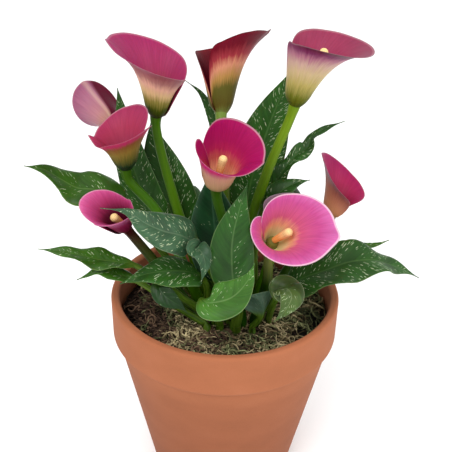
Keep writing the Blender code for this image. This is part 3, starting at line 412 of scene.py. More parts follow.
# Upper side, lower side and margin of each kind of blade, and its share of flecks
LEAF_COLOURS = {
    "dark": ("214612", "324d26", "55733e", 1.1),
    # The next row is the dark blade darkened further: painted shade for leaf 5, which lies in
    # shade.
    "in_shade": ("0e2a08", "1e3616", "38542c", 0.4),
    "fresh": ("2c500f", "3c5a2e", "6d8a4c", 0.75),
    "bright": ("37601f", "466836", "7c9861", 0.75),
    "mid": ("234a16", "3c5632", "678251", 0.6),
    "grey": ("2e4c32", "3e5644", "6c8062", 0.9),
    "olive": ("3c5024", "546640", "8c9c72", 0.9),
    "blue": ("12341a", "384f44", "46674c", 0.4),
}

WHITE = (1.0, 1.0, 1.0)


# Settings


class PotSettings(bpy.types.PropertyGroup):
    """Sizes and clay of the pot."""

    height: bpy.props.FloatProperty(
        name="Height", description="Height of the pot", default=0.147, unit="LENGTH"
    )
    rim_radius: bpy.props.FloatProperty(
        name="Rim radius", description="Outer radius of the rim", default=0.080, unit="LENGTH"
    )
    clay: bpy.props.FloatVectorProperty(
        name="Clay", description="Colour of the fired clay", size=3, min=0.0, max=1.0,
        subtype="COLOR", default=(0.318, 0.104, 0.043),
    )
    throwing_lines: bpy.props.FloatProperty(
        name="Turning lines", description="Height of the lines left by turning",
        default=0.00006, unit="LENGTH",
    )


class GroundSettings(bpy.types.PropertyGroup):
    """Soil and moss in the pot."""

    soil_grain: bpy.props.FloatProperty(
        name="Soil grain", description="Height of the soil's lumps", default=0.0016, unit="LENGTH"
    )
    moss_strands: bpy.props.IntProperty(
        name="Moss strands", description="Strands of each of the three moss colours",
        default=1100, min=10,
    )
    strand_length: bpy.props.FloatProperty(
        name="Strand length", description="Mean length of a strand", default=0.022, unit="LENGTH"
    )
    strand_radius: bpy.props.FloatProperty(
        name="Strand radius", description="Radius of a strand", default=0.00050, unit="LENGTH"
    )


class PlantSettings(bpy.types.PropertyGroup):
    """Finish of blooms, stems and leaves."""

    lip_ripple: bpy.props.FloatProperty(
        name="Lip ripple", description="Height of the soft ripples at a spathe's lip",
        default=0.0005, unit="LENGTH",
    )
    vein_height: bpy.props.FloatProperty(
        name="Vein height", description="Height of a leaf's side veins", default=0.00010,
        unit="LENGTH",
    )
    fleck_density: bpy.props.FloatProperty(
        name="Fleck density", description="Share of the blade that its white flecks may fill",
        default=0.5, min=0.0, max=1.0, subtype="FACTOR",
    )
    spadix_colour: bpy.props.FloatVectorProperty(
        name="Spadix", description="Colour of the spadix", size=3, min=0.0, max=1.0,
        subtype="COLOR", default=(0.93, 0.66, 0.27),
    )


class StageSettings(bpy.types.PropertyGroup):
    """Camera, floor and light."""

    pitch: bpy.props.FloatProperty(
        name="Pitch", description="How far the camera looks down", default=math.radians(30.0),
        subtype="ANGLE",
    )
    roll: bpy.props.FloatProperty(
        name="Roll", description="Turn of the camera about its own axis",
        default=math.radians(1.2), subtype="ANGLE",
    )
    distance: bpy.props.FloatProperty(
        name="Distance", description="From the camera to the point it looks at",
        default=0.740, unit="LENGTH",
    )
    lens: bpy.props.FloatProperty(
        name="Lens", description="Focal length on a 36 mm sensor", default=86.57, unit="CAMERA"
    )
    key_power: bpy.props.FloatProperty(
        name="Key light", description="Power of the large light", default=17.0, unit="POWER"
    )
    fill_power: bpy.props.FloatProperty(
        name="Fill light", description="Power of the light from the right", default=7.0,
        unit="POWER",
    )
    sky: bpy.props.FloatProperty(
        name="Sky", description="Strength of the even white light", default=1.0, min=0.0
    )


# Arrays


def unit(vector):
    """Vectors divided by their own length."""
    vector = np.asarray(vector, float)
    return vector / np.linalg.norm(vector, axis=-1, keepdims=True)


def smoothstep(value, low=0.0, high=1.0):
    """0 up to low, 1 from high on, and 3 v v - 2 v v v of the share of the way between."""
    value = np.clip((value - low) / (high - low), 0.0, 1.0)
    return value * value * (3.0 - 2.0 * value)


def joined(*parts):
    """Numbers or arrays side by side along a last axis."""
    return np.stack(np.broadcast_arrays(*parts), axis=-1)


def circle(sides):
    """Turns of evenly spaced points round a circle."""
    return np.linspace(0.0, math.tau, sides, endpoint=False)


def lattice(cells, seed):
    """A repeatable number from 0 to 1 for each whole-number cell: the fraction of a large sine."""
    mixed = cells @ np.array([127.1, 311.7, 74.7]) + seed * 53.3
    return np.modf(np.abs(np.sin(mixed) * 43758.5453))[0]


def value_noise(points, seed=0):
    """Smooth noise from -1 to 1: the lattice's numbers at the eight corners round each point,
    blended with smoothstep weights."""
    points = np.asarray(points, float)
    low = np.floor(points)
    part = smoothstep(points - low)
    total = np.zeros(points.shape[:-1])
    for corner in np.ndindex(2, 2, 2):
        weight = np.prod(np.where(corner, part, 1.0 - part), axis=-1)
        total += weight * lattice(low + np.array(corner), seed)
    return total * 2.0 - 1.0


def fractal(points, seed=0, octaves=3):
    """Noise octaves, each of twice the frequency and half the height of the one before."""
    return sum(value_noise(np.asarray(points) * 2**i, seed + i) * 0.5**i for i in range(octaves))


def spline(points, stations):
    """Points of a smooth curve through the given ones, at stations counted in given points: cubic
    pieces whose slopes are weighted by the square roots of the spans beside them."""
    points = np.asarray(points, float)
    spans = np.sqrt(np.linalg.norm(np.diff(points, axis=0), axis=1))
    slopes = np.diff(points, axis=0) / spans[:, None]
    share = (spans[:-1] / (spans[:-1] + spans[1:]))[:, None]
    middle = slopes[:-1] * (1.0 - share) + slopes[1:] * share
    tangents = np.concatenate([slopes[:1], middle, slopes[-1:]])
    stations = np.asarray(stations, float)
    first = np.clip(np.floor(stations).astype(int), 0, len(points) - 2)
    part = (stations - first)[:, None]
    span = spans[first][:, None]
    return (
        (2 * part**3 - 3 * part**2 + 1) * points[first]
        + (part**3 - 2 * part**2 + part) * tangents[first] * span
        + (3 * part**2 - 2 * part**3) * points[first + 1]
        + (part**3 - part**2) * tangents[first + 1] * span
    )


def lengths_along(points):
    """The way from the first point to each one, in straight steps."""
    steps = np.linalg.norm(np.diff(points, axis=0), axis=1)
    return np.concatenate([[0.0], np.cumsum(steps)])


def evenly(points, start, end, count):
    """count points on the smooth curve, evenly spaced between two stations."""
    fine = np.linspace(start, end, 400)
    reached = lengths_along(spline(points, fine))
    return spline(points, np.interp(np.linspace(0.0, reached[-1], count), reached, fine))


def grid_quads(rows, columns, closed=False):
    """Quads between the rows of a grid of points, which is closed round its columns if asked."""
    row = np.arange(rows - 1)[:, None] * columns
    column = np.arange(columns if closed else columns - 1)[None, :]
    after = (column + 1) % columns
    quads = joined(row + column, row + after, row + columns + after, row + columns + column)
    return quads.reshape(-1, 4)


def closed_tube(rows, sides):
    """Quads of a tube of rings, and triangles that close it at two points that come after the
    rings, the first at its foot and the second at its top."""
    around = np.arange(sides)
    after = (around + 1) % sides
    count = rows * sides
    last = count - sides
    ends = joined(count, after, around), joined(count + 1, last + around, last + after)
    return grid_quads(rows, sides, closed=True), np.concatenate(ends)


def carried_frames(line, start):
    """Two directions across a line at each of its points, turned as little as may be from one point
    to the next."""
    tangents = unit(np.gradient(line, axis=0))
    side = np.cross(tangents[0], start)
    sides = []
    for tangent in tangents:
        side = unit(side - tangent * (side @ tangent))
        sides.append(side)
    return np.array(sides), np.cross(tangents, sides)


# Meshes


def add_piece(name, vertices, quads, material, slot, nodes, triangles=None, **attributes):
    """A mesh object at the origin, smooth, with point attributes, that rides on the root body."""
    mesh = bpy.data.meshes.new(name)
    triangles = np.zeros((0, 3), int) if triangles is None else triangles
    corners = np.concatenate([quads.ravel(), triangles.ravel()]).astype(np.int32)
    starts = np.concatenate(
        [np.arange(len(quads)) * 4, len(quads) * 4 + np.arange(len(triangles)) * 3]
    ).astype(np.int32)
    mesh.vertices.add(len(vertices))
    mesh.vertices.foreach_set("co", np.asarray(vertices, np.float32).ravel())
    mesh.loops.add(len(corners))
    mesh.loops.foreach_set("vertex_index", corners)
    mesh.polygons.add(len(starts))
    mesh.polygons.foreach_set("loop_start", starts)
    mesh.update(calc_edges=True)
    mesh.validate()
    mesh.shade_smooth()
    for key, values in attributes.items():
        values = np.asarray(values, np.float32)
        kind = "FLOAT" if values.ndim == 1 else "FLOAT_VECTOR"
        field = "value" if values.ndim == 1 else "vector"
        mesh.attributes.new(key, kind, "POINT").data.foreach_set(field, values.ravel())
    mesh.materials.append(material)
    piece = bpy.data.objects.new(name, mesh)
    bpy.context.scene.collection.objects.link(piece)
    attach(piece, "root")
    if nodes:
        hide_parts(*nodes)
    return piece


def tube_mesh(line, radii, sides, start):
    """Rings of a tube round a line, line + r (cos t across + sin t upward), with a point at each
    end, its quads and its end triangles."""
    across, upward = carried_frames(line, start)
    turn = circle(sides)[None, :, None]
    rings = line[:, None] + (
        np.cos(turn) * across[:, None] + np.sin(turn) * upward[:, None]
    ) * radii[..., None]
    vertices = np.concatenate([rings.reshape(-1, 3), line[:1], line[-1:]])
    return vertices, *closed_tube(len(line), sides)


# Materials


def linear(code):
    """The linear colour of six hexadecimal digits, with alpha."""
    values = np.array([int(code[i : i + 2], 16) for i in (0, 2, 4)]) / 255.0
    low, high = values / 12.92, ((values + 0.055) / 1.055) ** 2.4
    return (*np.where(values <= 0.04045, low, high).tolist(), 1.0)


def stops(row):
    """Stops of a colour ramp from a row such as "0.3 3a2414, 0.6 7a5233"."""
    pairs = (stop.split() for stop in row.split(","))
    return [(float(place), linear(code)) for place, code in pairs]


def times(colour, factor, extra=0.0):
    """A colour times a factor, plus a little of white, with alpha."""
    return (*[min(1.0, value * factor + extra) for value in colour[:3]], 1.0)


class Shader:
    """A material with one Principled shader, and short ways to add and join its nodes."""

    def __init__(self, name, roughness, specular=0.5):
        self.material = bpy.data.materials.new(name)
        self.material.use_nodes = True
        self.nodes = self.material.node_tree.nodes
        self.links = self.material.node_tree.links
        self.surface = self.nodes["Principled BSDF"]
        self.surface.inputs["Roughness"].default_value = roughness
        self.surface.inputs["Specular IOR Level"].default_value = specular

    def put(self, socket, value):
        """Links a socket or sets its value."""
        if isinstance(value, bpy.types.NodeSocket):
            self.links.new(value, socket)
        else:
            socket.default_value = value

    def node(self, kind, settings=None, **inputs):
        """A new node with its settings and its inputs, a low line in a name being a space."""
        made = self.nodes.new(kind)
        for key, value in (settings or {}).items():
            setattr(made, key, value)
        for key, value in inputs.items():
            self.put(made.inputs[key.replace("_", " ")], value)
        return made

    def math(self, operation, first, second=0.0, third=0.0):
        """The result of a sum, a product or the like."""
        made = self.node("ShaderNodeMath", {"operation": operation})
        for socket, value in zip(made.inputs, (first, second, third)):
            self.put(socket, value)
        return made.outputs[0]

    def attribute(self, name, output="Fac"):
        """A value that the piece's points carry."""
        return self.node("ShaderNodeAttribute", {"attribute_name": name}).outputs[output]

    def place(self):
        """The place on the object."""
        return self.node("ShaderNodeTexCoord").outputs["Object"]

    def stretched(self, vector, scale):
        """A place multiplied by a factor in each direction."""
        made = self.node("ShaderNodeMapping", Vector=vector)
        made.inputs["Scale"].default_value = scale
        return made.outputs[0]

    def noise(self, vector, scale, detail=3.0, rough=0.5):
        """Soft noise about 0.5, scale lumps to the metre."""
        made = self.node("ShaderNodeTexNoise", Vector=vector, Scale=scale, Detail=detail)
        made.inputs["Roughness"].default_value = rough
        return made.outputs["Fac"]

    def cells(self, vector, scale, output="Distance"):
        """The distance to the nearest of scattered points, or the colour of its cell."""
        return self.node("ShaderNodeTexVoronoi", Vector=vector, Scale=scale).outputs[output]

    def range(self, value, low, high, to_low=0.0, to_high=1.0):
        """A smooth step from to_low at low to to_high at high."""
        made = self.node("ShaderNodeMapRange", {"interpolation_type": "SMOOTHSTEP"})
        for key, amount in zip(("Value", "From Min", "From Max", "To Min", "To Max"),
                               (value, low, high, to_low, to_high)):
            self.put(made.inputs[key], amount)
        return made.outputs[0]

    def ramp(self, value, places):
        """The colour at a value between stops of a place and a colour."""
        made = self.node("ShaderNodeValToRGB", Fac=value)
        elements = made.color_ramp.elements
        for element, (place, colour) in zip(elements, places[:2]):
            element.position, element.color = place, colour
        for place, colour in places[2:]:
            elements.new(place).color = colour
        return made.outputs["Color"]

    def mix(self, share, first, second, blend="MIX"):
        """The first colour with a share of the second."""
        made = self.node("ShaderNodeMix", {"data_type": "RGBA", "blend_type": blend})
        colours = [socket for socket in made.inputs if socket.type == "RGBA"]
        for socket, value in zip((made.inputs[0], *colours), (share, first, second)):
            self.put(socket, value)
        return [socket for socket in made.outputs if socket.type == "RGBA"][0]

    def tinted(self, share, colour, value, *places):
        """A colour multiplied by a share of the tint at a value between places of three numbers."""
        tint = self.ramp(value, [(place, (*tone, 1.0)) for place, tone in places])
        return self.mix(share, colour, tint, "MULTIPLY")

    def bump(self, height, distance, strength=1.0, below=None):
        """The normal of a surface raised by a height of 0 to 1 times a distance."""
        made = self.node("ShaderNodeBump", Height=height, Distance=distance, Strength=strength)
        if below is not None:
            self.put(made.inputs["Normal"], below)
        return made.outputs["Normal"]

    def finish(self, colour, normal=None, **inputs):
        """The material, once its colour, normal and other inputs are joined."""
        self.put(self.surface.inputs["Base Color"], colour)
        if normal is not None:
            self.put(self.surface.inputs["Normal"], normal)
        for key, value in inputs.items():
            self.put(self.surface.inputs[key.replace("_", " ")], value)
        return self.material


def clay_material(clay):
    """Even fired clay: the clay colour, paler and darker in soft clouds, with a sandy grain, and
    darker from the collar down, which is painted shade of light that falls from above."""
    shader = Shader("fired_clay", 0.82, 0.3)
    place = shader.place()
    clouds = shader.noise(shader.stretched(place, (1.0, 1.0, 1.8)), 34.0, 4.0, 0.55)
    grain = shader.noise(place, 1900.0, 3.0, 0.6)
    tones = ((0.30, times(clay, 0.93)), (0.50, times(clay, 1.0)), (0.72, times(clay, 1.04, 0.004)))
    colour = shader.ramp(clouds, tones)
    colour = shader.tinted(0.55, colour, grain, (0.30, (0.84, 0.82, 0.80)), (0.55, WHITE))
    # painted shade: the clay gets darker from the collar down to the foot
    height = shader.node("ShaderNodeSeparateXYZ", Vector=place).outputs[2]
    colour = shader.tinted(
        1.0, colour, shader.range(height, 0.02, 0.115),
        (0.0, (0.74, 0.70, 0.68)), (0.92, (0.86, 0.84, 0.82)), (1.0, WHITE),
    )
    pits = shader.bump(grain, 0.0003, 0.25)
    return shader.finish(colour, shader.bump(clouds, 0.0006, 0.2, pits))


def soil_material():
    """Nearly black compost with brown crumbs, and painted shade towards the edges of the crumbs and
    in the gaps between them.
    """
    shader = Shader("compost", 0.95, 0.2)
    place = shader.place()
    crumbs = shader.cells(place, 420.0)
    fine = shader.noise(place, 900.0, 4.0, 0.65)
    colour = shader.ramp(fine, stops("0.32 120c08, 0.55 2b1d14, 0.78 4b3524"))
    # painted shade: darker away from the middle of each crumb and in the gaps between crumbs
    colour = shader.tinted(0.8, colour, crumbs, (0.05, WHITE), (0.55, (0.35, 0.33, 0.32)))
    return shader.finish(colour, shader.bump(shader.math("SUBTRACT", fine, crumbs), 0.0012, 0.8))


def moss_material(name, tones):
    """Dry strands, each with a tone between dark and pale that changes along its length: partly its
    own colour, partly painted light where it lies high and painted shade where it lies low.
    """
    shader = Shader(name, 0.9, 0.15)
    tone = shader.attribute("tone")
    patches = shader.noise(shader.place(), 260.0, 3.0, 0.6)
    mixed = shader.math("MULTIPLY_ADD", patches, 0.30, shader.math("MULTIPLY", tone, 0.85))
    return shader.finish(shader.ramp(mixed, stops(tones)))


def tuber_material():
    """Corky brown skin with dark rings."""
    shader = Shader("corky_skin", 0.85, 0.3)
    place = shader.place()
    rings = shader.noise(shader.stretched(place, (1.0, 1.0, 7.0)), 90.0, 4.0, 0.6)
    colour = shader.ramp(rings, stops("0.3 3a2414, 0.6 7a5233"))
    return shader.finish(colour, shader.bump(rings, 0.0008, 0.6))


def stem_material(name, low, high):
    """A fleshy stem: the low colour at the soil and the high one under the bloom, with fine upright
    streaks. along is the share of its height, and skin its place round and along the stem."""
    shader = Shader(name, 0.42, 0.12)
    along = shader.attribute("along")
    skin = shader.attribute("skin", "Vector")
    streaks = shader.noise(shader.stretched(skin, (1.0, 1.0, 0.06)), 900.0)
    colour = shader.ramp(along, stops(f"0.55 {low}, 0.96 {high}"))
    colour = shader.tinted(
        0.7, colour, streaks, (0.35, (0.80, 0.84, 0.72)), (0.62, (1.10, 1.08, 1.05))
    )
    return shader.finish(colour, shader.bump(streaks, 0.0003, 0.3), Subsurface_Weight=0.08,
                         Subsurface_Scale=0.002)


def spathe_material(name, bloom):
    """A waxy sheet with its own colours from foot to lip on each side, streaked along its veins, a
    paler line at the lip, and for some a pale midrib with a darker half beyond it.

    skin holds the turn about the funnel, the metres from the foot and a number of its own. side is
    1 on the inside and 0 on the outside, along the share from foot to lip, rim 1 on the edge, and
    half runs from -1 to 1 between the margins."""
    shader = Shader(name, 0.45, 0.08)
    skin = shader.attribute("skin", "Vector")
    along, side, rim, half = (shader.attribute(key) for key in ("along", "side", "rim", "half"))
    streaks = shader.noise(shader.stretched(skin, (1.0, 8.0, 1.0)), 9.0, 4.0, 0.6)
    veins = shader.noise(shader.stretched(skin, (1.0, 2.5, 1.0)), 26.0, 2.0, 0.5)
    streaked = shader.math("MULTIPLY_ADD", shader.math("SUBTRACT", streaks, 0.5), 0.20, along)
    outside = shader.ramp(streaked, stops(bloom.outside))
    inside = shader.ramp(streaked, stops(bloom.inside))
    if bloom.dusk:
        outside = shader.mix(shader.range(half, 0.03, 0.14), outside, linear(bloom.dusk))
    if bloom.rib:
        stripe = shader.range(shader.math("ABSOLUTE", half), 0.0, 0.075, bloom.rib, 0.0)
        outside = shader.mix(stripe, outside, linear("d9c3a6"))
    colour = shader.mix(side, outside, inside)
    colour = shader.tinted(
        0.55, colour, veins, (0.36, (0.84, 0.78, 0.82)), (0.60, (1.08, 1.06, 1.07))
    )
    line = shader.range(rim, 0.45, 0.95, 0.0, bloom.edge)
    colour = shader.mix(line, colour, linear("ead0d6"))
    return shader.finish(colour, shader.bump(veins, 0.0004, 0.35), Subsurface_Weight=0.08,
                         Subsurface_Scale=0.003)


def spadix_material(colour):
    """Pollen on small florets: painted light on their tops and painted shade between them, and a
    painted warm glow, deeper orange, towards the foot of the club."""
    shader = Shader("pollen", 0.7, 0.25)
    grain = shader.noise(shader.place(), 2600.0, 2.0)
    # painted light and shade: florets lighter on their tops and darker between them
    mixed = shader.math("MULTIPLY_ADD", grain, 0.35, shader.attribute("knob"))
    tones = ((0.1, times(colour, 0.55)), (1.0, times(colour, 1.05, 0.05)))
    colour = shader.ramp(mixed, tones)
    # painted warm glow: deeper orange towards the foot of the club
    painted_glow = (0.30, (1.0, 0.60, 0.36)), (0.80, WHITE)
    colour = shader.tinted(1.0, colour, shader.attribute("along"), *painted_glow)
    return shader.finish(colour, shader.bump(grain, 0.0002, 0.4))


def leaf_material(name, colours, density):
    """A blade with white flecks along its side veins, a pale margin line and a greyer underside. A
    fleck fills a cell's middle as far as the cell's own chance goes past the share without flecks.

    vein holds the place across and along the side veins in metres, edge is 0 at the midrib and 1 at
    the margin, side 1 above and 0 below, and blade 0 on the petiole and 1 on the blade."""
    shader = Shader(name, 0.40, 0.18)
    vein = shader.attribute("vein", "Vector")
    edge, side, blade = (shader.attribute(key) for key in ("edge", "side", "blade"))
    clouds = shader.noise(vein, 60.0, 3.0, 0.5)
    ribs = shader.noise(shader.stretched(vein, (1.0, 0.06, 1.0)), 520.0, 2.0, 0.5)
    upper, lower, margin = (linear(code) for code in colours[:3])
    density = density * colours[3]
    clouded = ((0.30, times(upper, 0.62)), (0.50, upper), (0.72, times(upper, 1.35)))
    rib_tint = (0.35, (0.74, 0.80, 0.74)), (0.62, (1.12, 1.10, 1.06))
    top = shader.tinted(0.7, shader.ramp(clouds, clouded), ribs, *rib_tint)
    top = shader.mix(shader.range(edge, 0.015, 0.06, 0.26, 0.0), top, margin)
    warped = shader.node("ShaderNodeVectorMath", {"operation": "ADD"})
    wobble = shader.node("ShaderNodeTexNoise", Vector=vein, Scale=500.0, Detail=1.0)
    scaled = shader.node("ShaderNodeVectorMath", {"operation": "SCALE"}, Scale=0.0006)
    shader.put(scaled.inputs[0], wobble.outputs["Color"])
    shader.put(warped.inputs[0], vein)
    shader.put(warped.inputs[1], scaled.outputs[0])
    slits = shader.stretched(warped.outputs[0], (1.0, 0.30, 1.0))
    crowd = shader.range(clouds, 0.30, 0.68, 0.25 * density, 1.5 * density)
    rare = shader.math("SUBTRACT", 1.0, crowd)
    fleck = 0.0
    for scale, widest in ((700.0, 0.24), (1300.0, 0.30)):
        cell = shader.node("ShaderNodeSeparateColor", Color=shader.cells(slits, scale, "Color"))
        reach = shader.math("MULTIPLY", shader.math("SUBTRACT", cell.outputs[0], rare), 1.2)
        reach = shader.math("MINIMUM", reach, widest)
        reach = shader.math("SUBTRACT", reach, shader.cells(slits, scale))
        fleck = shader.math("MAXIMUM", fleck, shader.math("DIVIDE", reach, 0.06))
    fleck = shader.node("ShaderNodeClamp", Value=fleck).outputs[0]
    for part in (shader.range(edge, 0.08, 0.16), shader.range(edge, 0.97, 0.90),
                 shader.range(blade, 0.75, 1.0)):
        fleck = shader.math("MULTIPLY", fleck, part)
    top = shader.mix(shader.math("MULTIPLY", fleck, 0.85), top, linear("b4c29c"))
    under = shader.tinted(0.6, lower, ribs, *rib_tint)
    under = shader.mix(shader.math("MULTIPLY", fleck, 0.18), under, linear("a0ac98"))
    colour = shader.mix(side, under, top)
    colour = shader.mix(shader.range(edge, 0.95, 0.99, 0.0, 0.55), colour, margin)
    stripes = shader.noise(shader.stretched(vein, (0.04, 1.0, 1.0)), 1400.0, 2.0)
    stalk = shader.ramp(stripes, stops("0.35 294704, 0.65 4c641a"))
    colour = shader.mix(shader.range(blade, 0.25, 0.95), stalk, colour)
    veins = shader.bump(ribs, 0.0005, 0.45)
    return shader.finish(colour, shader.bump(fleck, 0.0002, 0.3, veins), Subsurface_Weight=0.05,
                         Subsurface_Scale=0.002)


# Pot, soil, moss and tuber


def arc(centre, radius, start, end, steps):
    """Points of an arc in the profile plane, centre + radius (cos t, sin t), t in degrees."""
    turns = np.radians(np.linspace(start, end, steps + 1))
    return centre + radius * joined(np.cos(turns), np.sin(turns))


def filled_in(points, spacing):
    """The same line of points with more put in between, none further apart than the spacing."""
    steps = np.linalg.norm(np.diff(points, axis=0), axis=1)
    counts = np.maximum(1, np.ceil(steps / spacing).astype(int))
    stations = [i + np.arange(count) / count for i, count in enumerate(counts)]
    stations = np.concatenate([*stations, [len(counts)]])
    known = np.arange(len(points))
    return joined(*(np.interp(stations, known, column) for column in points.T))


def pot_profile(height, rim_radius):
    """The pot in section, round the rim, down the collar and the tapering body, through the
    drainage hole and up the inside: a straight collar with rounded edges, a step and a body that
    narrows by taper for each unit down."""
    collar, step, taper, draft = 0.032, 0.0042, 0.225, 0.0007
    rim_edge, collar_edge, neck_edge, base_edge = 0.0022, 0.0028, 0.0010, 0.0016
    hole, wall_top = 0.006, 0.0038
    foot = height - collar
    under = rim_radius - step
    base = under - taper * foot
    floor = POT_INSIDE[-1][1]
    return np.concatenate([
        arc((rim_radius - rim_edge, height - rim_edge), rim_edge, 90, 0, 8),
        arc((rim_radius - draft - collar_edge, foot + collar_edge), collar_edge, 0, -90, 8),
        arc((under + neck_edge, foot - neck_edge), neck_edge, 90, 180, 4),
        arc((base - base_edge, base_edge), base_edge, 0, -90, 5),
        [(hole, 0.0), (hole, floor)],
        POT_INSIDE[::-1],
        arc((rim_radius - wall_top, height - rim_edge), rim_edge, 180, 90, 8),
    ])


def pot_piece(settings):
    """The profile turned about the upright axis: x = r cos a, y = r sin a, where r loses up to the
    height of the turning lines by smooth noise over the profile's height."""
    line = filled_in(pot_profile(settings.height, settings.rim_radius), 0.0016)
    turn = circle(144)
    rows, sides = len(line), len(turn)
    lines = value_noise(joined(line[:, 1] * 900.0, 0.0, line[:, 0] * 40.0), 5)
    radius = line[:, :1] - settings.throwing_lines * (1.0 + lines[:, None]) / 2
    vertices = joined(radius * np.cos(turn), radius * np.sin(turn), line[:, 1:]).reshape(-1, 3)
    around = np.arange(sides)
    after = (around + 1) % sides
    last = (rows - 1) * sides
    seam = joined(last + around, last + after, after, around)
    quads = np.concatenate([grid_quads(rows, sides, closed=True), seam])[:, ::-1]
    clay = clay_material(settings.clay)
    return add_piece("clay_pot", vertices, quads, clay, "terracotta", ["pot"])


def turned_piece(name, line, sides, lift, material, slot, nodes, **attributes):
    """A closed profile turned about the upright axis, its first and last points on the axis, with
    lift(x, y) added to the heights of the points whose third number says how much."""
    turn = circle(sides)
    radius, height, raised = (line[1:-1, i : i + 1] for i in range(3))
    x, y = radius * np.cos(turn), radius * np.sin(turn)
    rings = joined(x, y, height + raised * lift(x, y)).reshape(-1, 3)
    pole = line[0, 1] + line[0, 2] * lift(np.zeros(1), np.zeros(1))[0]
    vertices = np.concatenate([rings, [(0.0, 0.0, pole), (0.0, 0.0, line[-1, 1])]])
    quads, ends = closed_tube(len(line) - 2, sides)
    return add_piece(
        name, vertices, quads[:, ::-1], material, slot, nodes, triangles=ends[:, ::-1],
        **{key: np.full(len(vertices), value) for key, value in attributes.items()},
    )


def soil_piece(settings):
    """A disc that follows the pot's inside 0.4 mm clear of it, its top raised by three octaves of
    noise that fade out at the wall."""
    rings, edge, gap = 72, 0.0730, 0.0004
    radii = edge * np.linspace(0.0, 1.0, rings)
    top = joined(radii, SOIL_TOP, 1.0 - smoothstep(radii, edge - 0.005, edge))
    wall = filled_in(np.array(POT_INSIDE) - (gap, 0.0), 0.006)
    corner, floor = np.array(POT_INSIDE[-1]) + (-gap, gap)
    wall = np.concatenate([wall, [(corner, floor), (0.0, floor)]])

    def lift(x, y):
        return settings.soil_grain * (fractal(joined(x, y, 0.0) * 260.0, 11) - 0.6)

    line = np.concatenate([top, joined(*wall.T, 0.0)])
    return turned_piece("compost", line, 160, lift, soil_material(), "soil", ["potting_soil"])


def moss_level(x, y):
    """Height of the moss over the soil: a base level with lumps about 20 mm across, thinner at the
    edge."""
    depth, edge = 0.0085, 0.067
    share = np.clip(np.hypot(x, y) / edge, 0.0, 1.1)
    lumps = fractal(joined(x, y, 0.0) * 75.0, 21, 2)
    return depth * (0.62 + 0.22 * lumps) * (1.0 - 0.45 * share**4)


def moss_bed(material):
    """The matted moss under the loose strands: moss_level with small lumps on it."""
    rings, gap = 80, 0.0002
    top = joined(MOSS_RADIUS * np.linspace(0.0, 1.0, rings), SOIL_TOP + gap, 1.0)
    top[-3:, 2] = (0.85, 0.5, 0.2)
    foot = SOIL_TOP - 2.0 * gap
    line = np.concatenate([top, [(MOSS_RADIUS - 0.002, foot, 0.0), (0.0, foot, 0.0)]])

    def lift(x, y):
        return moss_level(x, y) - 0.0007 + 0.0008 * fractal(joined(x, y, 0.0) * 420.0, 31, 3)

    return turned_piece(
        "moss_bed", line, 200, lift, material, "moss", ["moss_top_dressing"], tone=0.1
    )


